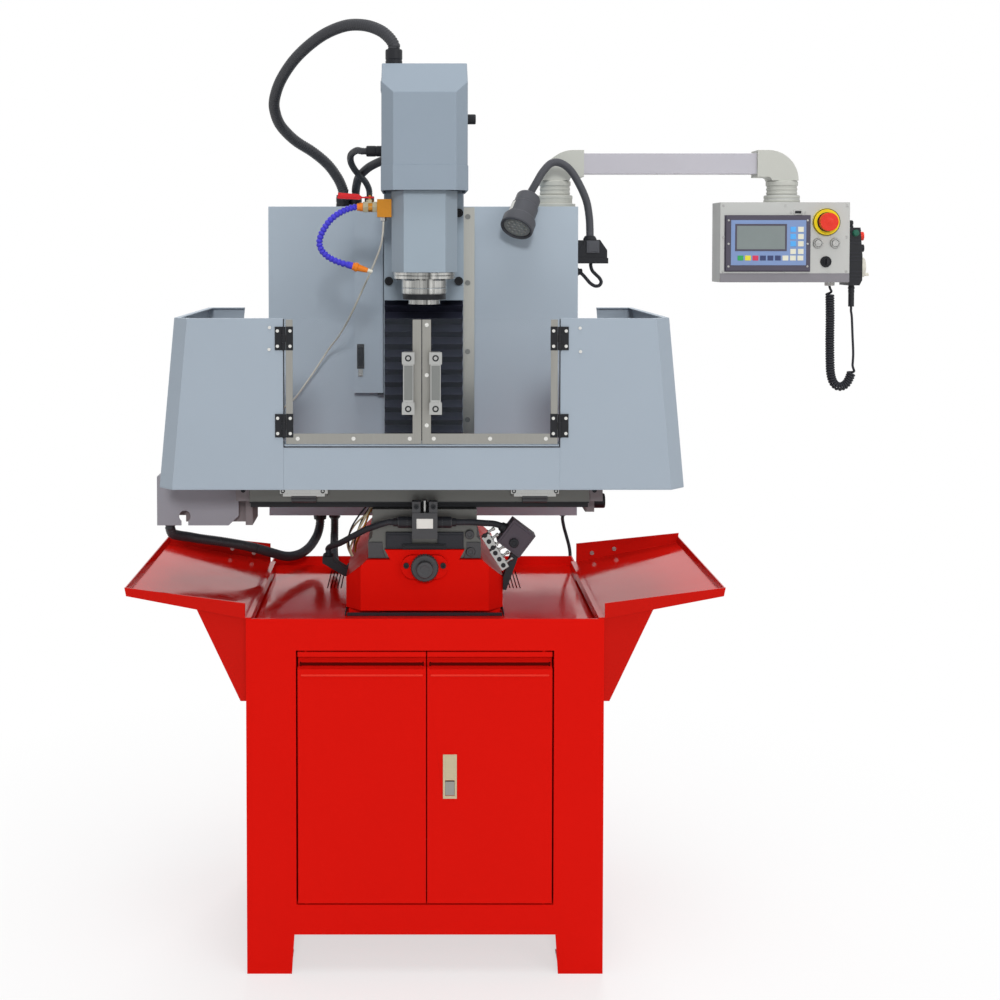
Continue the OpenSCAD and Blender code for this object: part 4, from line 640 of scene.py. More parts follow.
table_line = smooth_route(TABLE_ROUTE)
HALFWAY = len(table_line) // 2
moving_cord(
    "table_hose_back", table_line[: HALFWAY + 1], 20, conduit_nylon, HOSE_RIBS,
    ["table_hose"],
)
moving_cord(
    "table_hose_front", table_line[HALFWAY:], 20, conduit_nylon, HOSE_RIBS,
)
coolant_line = smooth_route(COOLANT_ROUTE, 8)
moving_cord(
    "coolant_tube_clear", coolant_line, 4, tube_white, SMOOTH,
    ["coolant_tube"],
)
for side, route, replaced in (("left", LEFT_LEAD_ROUTE, ["saddle_leads"]), ("right", RIGHT_LEAD_ROUTE, [])):
    line = smooth_route(route)
    moving_cord(
        side + "_saddle_lead", line, 12, black_rubber, FINE_RIBS, replaced
    )

COIL_CORD = 5.4
COIL_RADIUS, COIL_PITCH = 7.6 * MM, 5.6 * MM
COIL_SIDES = 14
COIL_EASE_TURNS = 4


def coil_line(points):
    """A helix wound round a route, easing out from it at the start and back to it at the end."""
    length = route_length(points)
    count = round(length / COIL_PITCH) * COIL_SIDES
    ease = COIL_EASE_TURNS * COIL_SIDES
    side = Vector((0, 1, 0))
    made = []
    travelled, i, angle = 0.0, 0, 0.0
    step = (points[1] - points[0]).length
    for k in range(count + 1):
        along = length * k / count
        while along > travelled + step and i < len(points) - 2:
            travelled += step
            i += 1
            step = (points[i + 1] - points[i]).length
        centre = points[i].lerp(points[i + 1], (along - travelled) / step)
        ahead = (points[i + 1] - points[i]).normalized()
        across = ahead.cross(side).normalized()
        reach = min(1.0, k / ease, (count - k) / ease)
        angle += 2 * math.pi * reach**4 / COIL_SIDES
        taper = reach * reach * (3 - 2 * reach)
        made.append(centre + COIL_RADIUS * taper * (math.cos(angle) * across + math.sin(angle) * side))
    return made


def add_pendant_coil(line):
    """The pendant's curly lead, kept as a curve with a round section."""
    data = bpy.data.curves.new("pendant_coil", "CURVE")
    data.dimensions = "3D"
    data.bevel_depth = COIL_CORD * MM / 2
    data.bevel_resolution = 3
    data.use_fill_caps = True
    spline = data.splines.new("POLY")
    spline.points.add(len(line) - 1)
    for point, place in zip(spline.points, line):
        point.co = (*place, 1)
    cord = add_piece("pendant_coil", data, "panel", black_rubber, replaces=["pendant_cord"])


add_pendant_coil(coil_line(smooth_route(PENDANT_ROUTE, 8)) + smooth_route(PENDANT_LEAD_ROUTE)[1:])

bellows = add_piece(
    "bellows_pleats", bevelled(merged_copy("bellows"), 0.8 * MM), "base", bellows_cloth, replaces=["bellows"]
)
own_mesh(bellows)


# Small pieces, in millimetres

FRONT, BACK, LEFT, RIGHT = (0, -1, 0), (0, 1, 0), (-1, 0, 0), (1, 0, 0)
UP, DOWN = (0, 0, 1), (0, 0, -1)


class Shape:
    """Simple solids gathered into one piece, measured in millimetres."""

    def __init__(self):
        self.mesh = bmesh.new()

    def box(self, low, high, turn=0.0):
        """A block, turned about the Y axis through its middle by some degrees."""
        low, high = Vector(low), Vector(high)
        place = Matrix.Translation((low + high) / 2) @ Matrix.Rotation(math.radians(turn), 4, "Y")
        bmesh.ops.create_cube(self.mesh, size=1, matrix=place @ Matrix.Diagonal((*(high - low), 1)))
        return self

    def turned(self, profile, at, axis=UP, sides=32, ring=False):
        """Revolves pairs of radius and height round an axis through a point, closed into a ring or with flat ends."""
        place = Matrix.Translation(at) @ Vector(axis).to_track_quat("Z", "Y").to_matrix().to_4x4()
        rings = []
        for radius, height in profile:
            if radius == 0:
                rings.append([self.mesh.verts.new(place @ Vector((0, 0, height)))] * sides)
                continue
            spots = (
                (radius * math.cos(2 * math.pi * i / sides), radius * math.sin(2 * math.pi * i / sides), height)
                for i in range(sides)
            )
            rings.append([self.mesh.verts.new(place @ Vector(spot)) for spot in spots])
        for low, high in zip(rings, rings[1:] + rings[:1] if ring else rings[1:]):
            for i in range(sides):
                j = (i + 1) % sides
                self.mesh.faces.new(list(dict.fromkeys((low[i], low[j], high[j], high[i]))))
        for end in () if ring else (rings[0], rings[-1]):
            if end[0] is not end[1]:
                self.mesh.faces.new(end)
        return self

    def prism(self, outline, along, start, end, hole=None):
        """Extrudes an outline along an axis, with a hole of as many corners where one is given."""

        def ring(points, depth):
            spots = {"X": lambda p: (depth, *p), "Y": lambda p: (p[0], depth, p[1]), "Z": lambda p: (*p, depth)}
            return [self.mesh.verts.new(spots[along](p)) for p in points]

        def wall(a, b):
            for i in range(len(a)):
                j = (i + 1) % len(a)
                self.mesh.faces.new((a[i], a[j], b[j], b[i]))

        low, high = ring(outline, start), ring(outline, end)
        wall(low, high)
        if hole is None:
            self.mesh.faces.new(low)
            self.mesh.faces.new(high)
        else:
            inner_low, inner_high = ring(hole, start), ring(hole, end)
            wall(inner_low, inner_high)
            wall(low, inner_low)
            wall(high, inner_high)
        return self

    def piece(self, name, body, material, rounding, slot=None, replaces=()):
        """Makes the solids one piece with rounded edges."""
        bmesh.ops.recalc_face_normals(self.mesh, faces=self.mesh.faces)
        self.mesh.transform(Matrix.Scale(MM, 4))
        mesh = bpy.data.meshes.new(name)
        self.mesh.to_mesh(mesh)
        self.mesh.free()
        add_piece(name, bevelled(mesh, rounding * MM), body, material, replaces)


def add_turned(name, body, material, rounding, profile, at, axis=UP, sides=32, ring=False, slot=None, replaces=()):
    """One turned solid as a piece."""
    Shape().turned(profile, at, axis, sides, ring).piece(name, body, material, rounding, slot, replaces)


def add_blocks(name, body, material, rounding, *blocks, slot=None):
    """Blocks, each given by two corners, as one piece."""
    shape = Shape()
    for low, high in blocks:
        shape.box(low, high)
    shape.piece(name, body, material, rounding, slot)


def rectangle(low_x, low_z, high_x, high_z):
    return [(low_x, low_z), (high_x, low_z), (high_x, high_z), (low_x, high_z)]


HEAD_SIDES, RECESS_SHARE = 14, 0.56


def build_fastener_tree():
    """Screw or rivet heads on points: each faces its point's direction, with a recess or a dome in its top."""
    tree, given = new_geometry_tree("fasteners", ("Head diameter", "Head height", "Recess depth"))
    half = arithmetic(tree, "MULTIPLY", given["Head diameter"], 0.5)
    head = add_node(
        tree, "GeometryNodeMeshCylinder", {"Radius": half, "Depth": given["Head height"]}, Vertices=HEAD_SIDES
    )
    rim = add_node(
        tree, "GeometryNodeExtrudeMesh", {"Mesh": head.outputs["Mesh"], "Selection": head.outputs["Top"]},
        mode="FACES", Offset_Scale=0.0,
    )
    drawn_in = add_node(
        tree, "GeometryNodeScaleElements", {"Geometry": rim.outputs["Mesh"], "Selection": rim.outputs["Top"]},
        Scale=RECESS_SHARE,
    )
    down = arithmetic(tree, "MULTIPLY", given["Recess depth"], -1.0)
    sunk = add_node(
        tree, "GeometryNodeExtrudeMesh",
        {"Mesh": drawn_in.outputs[0], "Selection": rim.outputs["Top"], "Offset Scale": down}, mode="FACES",
    )
    facing = add_node(tree, "GeometryNodeInputNamedAttribute", data_type="FLOAT_VECTOR", Name="facing")
    aim = add_node(tree, "FunctionNodeAlignRotationToVector", {"Vector": facing.outputs[0]}, axis="Z")
    placed = add_node(
        tree, "GeometryNodeInstanceOnPoints",
        {"Points": given["Geometry"], "Instance": sunk.outputs["Mesh"], "Rotation": aim.outputs[0]},
    )
    return finish_tree(tree, placed.outputs[0], given["Material"])


fastener_tree = build_fastener_tree()


def grid(columns, y, rows):
    """Spots in columns and rows on an upright plane."""
    return [(x, y, z) for x in columns for z in rows]


def add_fasteners(name, body, spots, head, material, facing=FRONT):
    """Screw heads at spots on one body: head is (diameter, height, recess depth), a dome where that is negative."""
    mesh = point_mesh(name, [[c * MM for c in spot] for spot in spots])
    for item in mesh.attributes.new("facing", "FLOAT_VECTOR", "POINT").data:
        item.vector = facing
    add_piece(name, run_tree(mesh, fastener_tree, head, material, 40), body, material)


# Diameter, height and recess depth of the heads
PAN_HEAD = (6.0, 2.4, -0.7)
STRIP_HEAD = (7.6, 2.6, -0.8)

# Stand: lock, finger grips of the doors with painted shadow strips and painted highlight folds, tray rivets
add_blocks(
    "lock_plate", "cabinet_right", champagne, 0.4,
    ((33.2, -262.0, 330.2), (37.2, -260.6, 412.8)), ((54.8, -262.0, 330.2), (58.8, -260.6, 412.8)),
    ((36.9, -262.0, 330.2), (55.1, -260.6, 335.4)), ((36.9, -262.0, 364.6), (55.1, -260.6, 412.8)),
    ((38.5, -262.5, 369), (53.5, -261.9, 408.5)),
)
add_turned(
    "lock_core", "cabinet_right", dark_iron, 0.3, [(12.5, 0), (12.5, 2), (9, 2), (9, 0)], (46, -250, 349), BACK, 20,
    True, "bright_steel",
)
for body, left, right in (("cabinet_left", -233.0, 0.0), ("cabinet_right", 6.0, 233.0)):
    # Each grip's dark strip and its taller ends are painted shadow in the grip's opening
    add_blocks(
        body + "_grip_shadow_strip", body, grip_painted_shadow, 0.3, ((left + 2, -261.0, 578.8), (right - 2, -259.2, 584.0)),
        *(((x, -261.1, 577.6), (x + 3, -259.2, 585.2)) for x in (left + 2, right - 5)),
    )
    # The fold's lighter red is a painted highlight on its rounded edge
    fold = [(0.9, 0), (1.7, 1.5), (1.7, right - left - 9.5), (0.9, right - left - 8)]
    add_turned(body + "_grip_fold", body, fold_highlight_enamel, 0.2, fold, (left + 4, -260.2, 560), RIGHT, 14)
for name, spots in (("left", ((-367, 687.4), (-413.5, 696.7))), ("right", ((365, 687), (413, 696)))):
    add_fasteners("tray_rivets_" + name, "base", [(x, 191.5, z) for x, z in spots], (9, 3, -1.2), bright_steel)

# Base: end of the Y screw, and black strips painted as the shadow in the gap under the base
GRIP_RIDGES, GRIP_RADIUS = 30, 25.0
Y_SCREW_Z = 742
add_turned(
    "bearing_cap", "base", dark_iron, 0.4,
    [
        (25.2, 0), (25.2, 11.6), (23.6, 13.4), (15.8, 13.6), (15.6, 26.0), (14.2, 27.4), (9.5, 27.4), (9, 26.8),
        (0, 26.8),
    ],
    (0, -178.6, Y_SCREW_Z), FRONT, 40,
)
grip = Shape()
for i in range(GRIP_RIDGES):
    a = 2 * math.pi * i / GRIP_RIDGES
    spot = Vector((GRIP_RADIUS * math.cos(a), 0, GRIP_RADIUS * math.sin(a)))
    grip.turned([(1.5, 0), (1.5, 10), (0.9, 11)], Vector((0, -179.2, Y_SCREW_Z)) + spot, FRONT, 6)
grip.piece("bearing_cap_grip", "base", dark_iron, 0.3)
add_fasteners("bearing_screws", "base", grid((-35, 35), -180.5, (745.5,)), (11, 6, 3), black_enamel)
# Black rubber strips painted as the shadow in the gap between the base and the stand's tray
add_blocks(
    "base_gap_shadow_strip", "base", black_rubber, 0.4, ((-148, -166.4, 645.4), (148, -164.4, 651.5)),
    *(((x, -164.6, 645.4), (x + 2, 190, 651.5)) for x in (-152.2, 150.2)),
)

# Saddle: limit switch block, cable glands, way wipers and gibs
add_blocks(
    "switch_label", "saddle", label_white, 0.3,
    ((-15.5, -195.9, 819), (15.5, -194.8, 837.5)), ((-14.5, -196.2, 820), (14.5, -195.6, 836.5)),
)
add_fasteners("switch_screws", "saddle", grid((-16, 16), -193.6, (860,)), (9, 5, 2.4), black_enamel)
add_turned(
    "switch_pin", "saddle", bright_steel, 0.3, [(4.4, 0), (4.4, 21), (3.2, 22.6), (0, 22.8)], (0, -181, 848.4)
)
SADDLE_GLAND = [
    (10.8, 0), (10.8, 8), (10.6, 8.6), (10.6, 10), (10.9, 10.6), (10.9, 25), (9.6, 27.4), (7.9, 27.8), (7.9, 35.5),
    (6.4, 35.5),
]
GIB_COVER = ((106.5, 754.6), (74.5, 754.6), (80.5, 772), (80.5, 785), (106.5, 785))
for side, name in ((-1, "left"), (1, "right")):
    add_turned(
        "saddle_gland_" + name, "saddle", black_plastic, 0.5, SADDLE_GLAND, (side * 24, -175, 827), (side, 0, 0), 20
    )
    low, high = sorted((side * 24.5, side * 74.4))
    low_lip, high_lip = sorted((side * 27, side * 72))
    add_blocks(
        "way_wiper_" + name, "saddle", black_rubber, 0.6,
        ((low, -160.6, 772.8), (high, -154.6, 804.4)), ((low_lip, -162.2, 777), (high_lip, -160, 800)),
    )
    cover = [(side * x, z) for x, z in GIB_COVER]
    Shape().prism(cover, "Y", -158.2, -154.6).piece("gib_cover_" + name, "saddle", dark_iron, 0.5)
add_blocks(
    "way_wiper_plate", "saddle", black_enamel, 0.5,
    ((-42, -165.5, 772.9), (41, -160.8, 783)), ((-38, -167, 775), (37, -165, 781)),
)
gib_knobs = Shape()
for x, z in ((86, 800), (88, 767)):
    gib_knobs.turned([(9, 0), (9, 5), (7.6, 6.6), (4.5, 6.6), (4, 4.6), (0, 4.6)], (x, -154.8, z), FRONT, 24)
gib_knobs.piece("gib_knobs", "saddle", dark_iron, 0.4)

# Base's right: oil distributor of two sloping blocks with outlets and ports, and the limit switch
SLOPE_DOWN, SLOPE_OUT, SLOPE_TURN = Vector((0.545, 0, -0.839)), (0.839, 0, 0.545), -33
OUTLET = [(4.4, 0), (4.4, 2), (2.4, 2), (2.4, 9), (3.6, 9.5), (3.6, 14), (2, 15)]
OUTLET_SPACING = 14
distributor, ports = Shape(), Shape()
for x, z, length in ((123, 786, 26), (143, 752, 44)):
    distributor.box((x - 8, -156, z - length / 2), (x + 8, -134, z + length / 2), SLOPE_TURN)
    for k in range(-(length // 26), length // 26 + 1):
        spot = Vector((x, -146, z)) + SLOPE_DOWN * OUTLET_SPACING * k
        distributor.turned(OUTLET, spot + Vector((6.7, 0, 4.4)), SLOPE_OUT, 10)
        ports.turned([(4.6, 0), (4.6, 1.6), (3.4, 2.4), (0, 2.4)], spot + Vector((0, -9.6, 0)), FRONT, 12)
distributor.piece("oil_distributor", "base", bright_steel, 0.4)
ports.piece("oil_ports", "base", black_enamel, 0.3)
SWITCH_TURN = 37
switch_box = Shape().box((149.4, -150.8, 763.4), (202.6, -113.2, 816.6), SWITCH_TURN)
switch_box.box((153.5, -152.4, 767.5), (198.5, -150.4, 812.5), SWITCH_TURN)
switch_box.piece("limit_switch", "base", switch_grey, 1.6)
switch_left = Vector((-math.cos(math.radians(SWITCH_TURN)), 0, math.sin(math.radians(SWITCH_TURN))))
add_turned(
    "limit_switch_gland", "base", black_plastic, 0.4,
    [(10.5, 0), (10.5, 5), (9.4, 5.6), (9.4, 7), (8.2, 11), (6.4, 11.6)],
    Vector((176, -132, 790)) + 25.4 * switch_left, (-0.8, 0, 0.6), 18,
)
add_turned(
    "limit_switch_knob", "base", black_plastic, 0.4,
    [(9, 0), (9, 5), (7.8, 6.4), (4.6, 6.6), (4, 5.4), (0, 5.4)], (171, -152.2, 783), FRONT, 24,
)

# Table: dogs with their rollers, black strips painted as the shadow under the slab, and the right end's cap
add_fasteners("dog_screws", "table", grid((-270, -194, 170, 250), -165.0, (884.5,)), (8, 3, 1.8), black_enamel)
dog_plates, dog_rollers = Shape(), Shape()
for x in (-230, 210):
    dog_plates.box((x - 45.6, -165.0, 879.5), (x + 45.6, -163.4, 889.4))
    dog_plates.box((x - 40, -164.6, 874), (x + 40, -163.4, 880.2))
    dog_rollers.box((x - 24, -164.8, 867), (x + 24, -155.2, 875.4))
    dog_rollers.turned([(5.5, 0), (5.5, 46), (4.5, 46.8)], (x - 23.4, -160.5, 867.5), RIGHT, 14)
dog_plates.piece("dog_plates", "table", cast_silver, 0.4)
dog_rollers.piece("dog_rollers", "table", dark_iron, 0.4)
# Two black strips painted as the shadow under the table's slab and along its lower front edge
add_blocks(
    "table_skirt_shadow_strip", "table", black_enamel, 0.3,
    ((-334.4, -139.0, 849.2), (314.4, -137.4, 860.2)), ((-334.4, -156.2, 859.9), (314.4, -154.8, 862.4)),
)
add_fasteners("end_screws", "table", grid((-347, 325), -151.6, (884, 898)), (9, 3.4, 1.8), black_enamel)
x_screw_low, x_screw_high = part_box("x_screw")
add_turned(
    "screw_end_cap", "table", black_enamel, 0.4,
    [(14.6, 0), (14.6, 22), (13.6, 24.4), (9, 24.4), (8.4, 23.6), (0, 23.6)],
    (333.2, -55, x_screw_low.z * 500 + x_screw_high.z * 500), RIGHT, 28,
)

# Guard: hinges, edge strips and handles of its doors, seals; distances along a door are from its hinge
HINGE_ROWS = (1008, 1036, 1168, 1196)
DOOR_FRONT = -262.0
HANDLE_REACH, HANDLE_FRONT, HANDLE_INSET = 227.25, -290.0, 2.6
add_fasteners("guard_hinge_screws", "table", grid((-269.5, 257.5), -263.0, HINGE_ROWS), PAN_HEAD, zinc_screw)
for name, hinge_x, side in (("left", -258, 1), ("right", 246, -1)):
    door = name + "_door"
    leaves = Shape()
    low, high = sorted((hinge_x + side * 4.0, hinge_x + side * 16.9))
    for z in (1000.6, 1160.6):
        leaves.box((low, -262.6, z - 0.3), (high, -261.2, z + 43.3))
        leaves.turned([(3.8, 0), (3.8, 14.0)], (hinge_x, -263.5, z + 14.5), UP, 18)
    leaves.piece(name + "_hinge_leaves", door, black_enamel, 0.4)
    spots = grid((hinge_x + side * 11.5,), -263.4, HINGE_ROWS)
    add_fasteners(name + "_hinge_screws", door, spots, PAN_HEAD, zinc_screw)
    spots = grid([hinge_x + side * x for x in (25, 127, 230)], DOOR_FRONT, (998.5,))
    if name == "right":
        spots += grid((hinge_x + side * 243,), DOOR_FRONT, (1023, 1115, 1207))
    add_fasteners(name + "_strip_screws", door, spots, STRIP_HEAD, zinc_screw)
    fittings = merged_copy(name + "_fittings")
    for vertex in fittings.vertices:
        vertex.co.y += HANDLE_INSET * MM if vertex.co.y < HANDLE_FRONT * MM + 1e-4 else 0
    add_finish(name + "_fittings", fittings, brushed_stainless, 0.4)
    x = hinge_x + side * HANDLE_REACH
    # Two pads, and a lighter block behind the bar that shows round its edges as a painted highlight
    add_blocks(
        name + "_handle_pads_and_highlight_rim", door, cast_silver, 0.5,
        *(((x - 11.6, -289.2, z), (x + 11.6, -286.5, z + 22.4)) for z in (1045.4, 1136.6)),
        ((x - 9.4, -288.3, 1067), (x + 9.4, -286.5, 1137)),
    )
    add_blocks(
        name + "_handle_bar", door, bar_steel, 0.3,
        ((x - 7.4, -289.0, 1072), (x + 8.0, -287.5, 1134.6)), ((x - 6.4, -289.3, 1073), (x + 7.0, -288.5, 1133.6)),
    )
    add_fasteners(name + "_handle_screws", door, grid((x,), -288.6, (1056, 1148)), (12, 2.6, 1.8), black_enamel)
add_blocks(
    "guard_seals", "table", black_rubber, 0.2, ((-259.6, -260.9, 981.8), (247.6, -259.4, 984.0)),
    *(((x, -260.9, 983.8), (x + 2, -259.4, 1217.5)) for x in (-259.6, 245.6)),
)
spots = [(x, -261.0, z) for x, z in ((-284, 1202), (-285, 1162), (283, 1201), (284, 1158))]
add_fasteners("guard_screws", "table", spots, PAN_HEAD, zinc_screw)

# Column and box
# The strip's lighter steel is painted light against the shade behind the panes
add_blocks(
    "column_strip", "base", strip_steel_painted_light, 0.4,
    ((84.0, 150.2, 945), (108, 151.9, 1433)), ((84.0, 150.4, 945), (85.8, 196, 1433)),
)
spots = grid((93.5,), 149.2, (982, 1127, 1273, 1413))
add_fasteners("column_strip_screws", "base", spots, (11.5, 3.2, 1.4), bar_steel)
BOX_BACK = 453.1
spots = grid((-326, 326), BOX_BACK, (790, 942, 1096, 1250, 1402)) + grid((-200, 0, 200), BOX_BACK, (769, 1423))
add_fasteners("box_rim_screws", "base", spots, (6.0, 2.4, -0.6), bright_steel, BACK)
add_blocks(
    "latch_plate", "hatch", dark_iron, 0.5,
    ((-145, 233.4, 1083), (-129, 234.9, 1137)), ((-142.5, 232.9, 1086), (-131.5, 233.6, 1134)), slot="black_plastic",
)
add_blocks(
    "latch_bolt", "hatch", bright_steel, 0.4,
    ((-142, 232.4, 1066), (-132, 234.9, 1082)), ((-140, 231.8, 1068), (-134, 232.6, 1080)),
)

# Head: motor cover, bearing nose and spindle
SPINDLE_Y, NOSE_SCREW_CIRCLE = -55, 52
COVER_SKIRT = [(-84.2, 60.6), (-84.2, -119.4), (-60.4, -146.2), (60.4, -146.2), (84.2, -119.4), (84.2, 60.6)]
COVER_WALL = [(-82.5, 59.5), (-82.5, -118.6), (-59.5, -144.5), (59.5, -144.5), (82.5, -118.6), (82.5, 59.5)]
Shape().prism(COVER_SKIRT, "Z", 1457.6, 1505.5, COVER_WALL).piece("cover_skirt", "head", cover_enamel, 0.9)
add_turned(
    "cover_knob", "head", black_plastic, 0.4, [(11, 0), (11, 3), (10, 3.4), (10, 17.6), (9, 19), (0, 19)],
    (82.6, -40, 1601), RIGHT, 24,
)
add_blocks(
    "cover_catch", "head", cover_enamel, 0.5,
    ((-85.4, -26, 1654), (-82.4, 26, 1684)), ((-86.8, -20, 1659), (-85, 20, 1679)),
)
cover_glands = Shape().turned(
    [(16.6, 0), (16.6, 9), (15.8, 9.8), (15.8, 11), (16.8, 12), (16.8, 29), (15.8, 31), (12.6, 31.4)],
    (-60, -40, 1706.8), UP, 18,
)
cover_glands.turned(
    [(10.8, 0), (10.8, 12), (10.3, 12.6), (10.3, 14), (11, 15), (11, 31), (10.3, 33), (7.6, 33.4)],
    (-82.8, 0, 1541), LEFT, 18,
)
cover_glands.piece("cover_glands", "head", black_plastic, 0.5)
add_turned(
    "bearing_nose", "head", turned_steel_painted_bands, 0.4,
    [
        (36, 0), (44.2, 0), (44.5, 0.6), (44.5, 9), (44.0, 9.6), (44.0, 11), (44.5, 11.6), (44.5, 28.6), (60.4, 28.6),
        (60.7, 29.2), (60.7, 34.4), (59.9, 35.2), (60.7, 36), (60.7, 41.8), (50, 42),
    ],
    (0, SPINDLE_Y, 1257.9), UP, 64, True,
)
spots = []
for a in range(15, 375, 60):
    turn = math.radians(a)
    spots.append((NOSE_SCREW_CIRCLE * math.cos(turn), SPINDLE_Y + NOSE_SCREW_CIRCLE * math.sin(turn), 1286.2))
add_fasteners("nose_screws", "head", spots, (8, 3, 1.6), black_enamel, DOWN)
add_fasteners("slide_screws", "head", grid((-72, 72), 66.5, (1279, 1419)), (18, 9, 4.5), black_enamel)
add_turned(
    "spindle_band", "spindle", black_enamel, 0.3,
    [(32, 0.2), (42.3, 0.2), (42.5, 0.6), (42.5, 11), (41.4, 11.8), (32, 11.8)], (0, SPINDLE_Y, 1245.7), UP, 48, True,
)

# Coolant: valve, tube nut, and the hose's collar and nozzle
VALVE_Y, VALVE_Z = -80, 1427
valve = Shape().turned(
    [(11.6, 0), (11.6, 9), (10.2, 9), (10.2, 17), (11.6, 17), (11.6, 27.6)], (-92.2, VALVE_Y, VALVE_Z), LEFT, 6
)
valve.turned([(7.5, 0), (7.5, 14.5)], (-106, VALVE_Y, VALVE_Z), UP, 6).piece("valve_body", "head", nickel, 0.5)
lever_grip = Shape().prism(
    [(-168.5, 1443), (-128, 1441), (-122, 1443.6), (-122, 1447.4), (-128, 1452), (-168.5, 1455)], "Y", -86.4, -73.6
)
lever_grip.prism([(-166, 1446), (-132, 1444.5), (-132, 1449.5), (-166, 1452)], "Y", -87.0, -73.0)
lever_grip.piece("lever_grip", body_of("valve_lever"), lever_red, 1.2)
add_turned(
    "tube_nut", "head", bright_steel, 0.4, [(6, 0), (6, 7), (4.4, 8), (3.2, 8.2)], (-80, -72, 1407.2), DOWN, 6
)
NOZZLE_TURN = math.radians(106)
NOZZLE_AIM = Vector((math.sin(NOZZLE_TURN), 0, math.cos(NOZZLE_TURN)))
NOZZLE_AT = Vector((-148, VALVE_Y, 1314))
hose_ends = Shape().turned([(8.4, 0), (8.4, 6), (7.4, 7.5), (7.4, 12)], (-119.5, VALVE_Y, VALVE_Z), LEFT, 20)
hose_ends.turned(
    [(7.4, 8), (7.5, 11.8), (9.0, 12.8), (9.0, 18.2), (7.0, 19.2), (5.0, 36), (4.6, 39)], NOZZLE_AT, NOZZLE_AIM, 20
)
hose_ends.piece("hose_orange", "head", nozzle_orange, 0.4)
add_turned(
    "nozzle_tip", "head", tube_white, 0.2, [(4.5, 0), (3.6, 9.8), (2.0, 10), (2.0, 4), (0, 4)],
    NOZZLE_AT + NOZZLE_AIM * 38.6, NOZZLE_AIM, 16,
)

# Lamp: case, lens, gooseneck, foot, label and lead; distances along it are from its back
LAMP_AXIS = Vector((-36, -58, -80)).normalized()
LAMP_BACK = Vector((232, 236, 1462))
LENS_FOOT, LED_FOOT = 90, 94.2
LABEL_RADIUS, LABEL_TOWARDS = 29.9, Vector((-1, -0.35, 0))
add_turned(
    "lamp_case", "base", lamp_black, 0.4,
    [
        (10, 0), (16, 1), (20, 4), (25.5, 8), (27, 11), (27, 33), (29.6, 36), (29.6, 66), (31, 69), (34.8, 71),
        (36.2, 74), (36.2, 95), (34.4, 97.8), (31.2, 97.8), (31, 90.2), (0, 90.2),
    ],
    LAMP_BACK, LAMP_AXIS, 48, replaces=["lamp_head"],
)
add_turned(
    "lamp_lens", "base", lens_grey, 0.3, [(30.6, 0), (30.6, 2.5), (28.5, 4), (0, 4.5)],
    LAMP_BACK + LAMP_AXIS * LENS_FOOT, LAMP_AXIS, 40,
)


def lamp_spot(along, radius, side, angle):
    """A spot on a circle round the lamp's axis, by the angle from one side of it."""
    over = LAMP_AXIS.cross(side)
    return LAMP_BACK + LAMP_AXIS * along + radius * (math.cos(angle) * side + math.sin(angle) * over)


led_side = LAMP_AXIS.orthogonal().normalized()
leds = Shape()
for ring, count in ((0, 1), (10, 6), (20, 12)):
    for i in range(count):
        spot = lamp_spot(LED_FOOT, ring, led_side, 2 * math.pi * i / count)
        leds.turned([(3.0, 0), (2.6, 1.2), (1.2, 2.0), (0, 2.2)], spot, LAMP_AXIS, 10)
leds.piece("lamp_leds", "base", led_white, 0.2)
sweep("lamp_gooseneck", smooth_route(LAMP_ROUTE), 17.2, lamp_black, (3.2, 0.35), "base")
lamp_foot = Shape().box((341.5, 266.5, 1312.6), (408, 313.5, 1325))
lamp_foot.prism([(342, 1324), (406, 1324), (406, 1342), (390, 1365), (358, 1365), (342, 1342)], "Y", 269, 311)
lamp_foot.turned([(15, 0), (15, 3), (11.5, 9), (9.6, 10)], (370, 290, 1364), UP, 24)
lamp_foot.piece("lamp_foot", "base", black_plastic, 0.8, "black_metal")
add_blocks(
    "lamp_switch", "base", lamp_black, 0.8,
    ((360, 265.6, 1336), (388, 269.8, 1363)), ((363, 264.8, 1339), (385, 266, 1360)), slot="black_plastic",
)
label_side = (LABEL_TOWARDS - LAMP_AXIS * LABEL_TOWARDS.dot(LAMP_AXIS)).normalized()
lamp_label = Shape()
label_rows = []
for along in (40, 63):
    row = [lamp_spot(along, LABEL_RADIUS, label_side, math.radians(turn)) for turn in range(-28, 29, 7)]
    label_rows.append([lamp_label.mesh.verts.new(spot) for spot in row])
low_row, high_row = label_rows
for i in range(len(low_row) - 1):
    lamp_label.mesh.faces.new((low_row[i], low_row[i + 1], high_row[i + 1], high_row[i]))
lamp_label.piece("lamp_label", "base", label_white, 0.05)
fixed_cord("lamp_lead", smooth_route(LAMP_LEAD_ROUTE), 8, black_rubber, (2.6, 0.3))
add_turned(
    "lamp_lead_gland", "base", black_plastic, 0.4, [(9, 0), (9, 4), (7, 5), (7, 11), (5.2, 12.5)], (341, 290, 1294),
    RIGHT, 16,
)

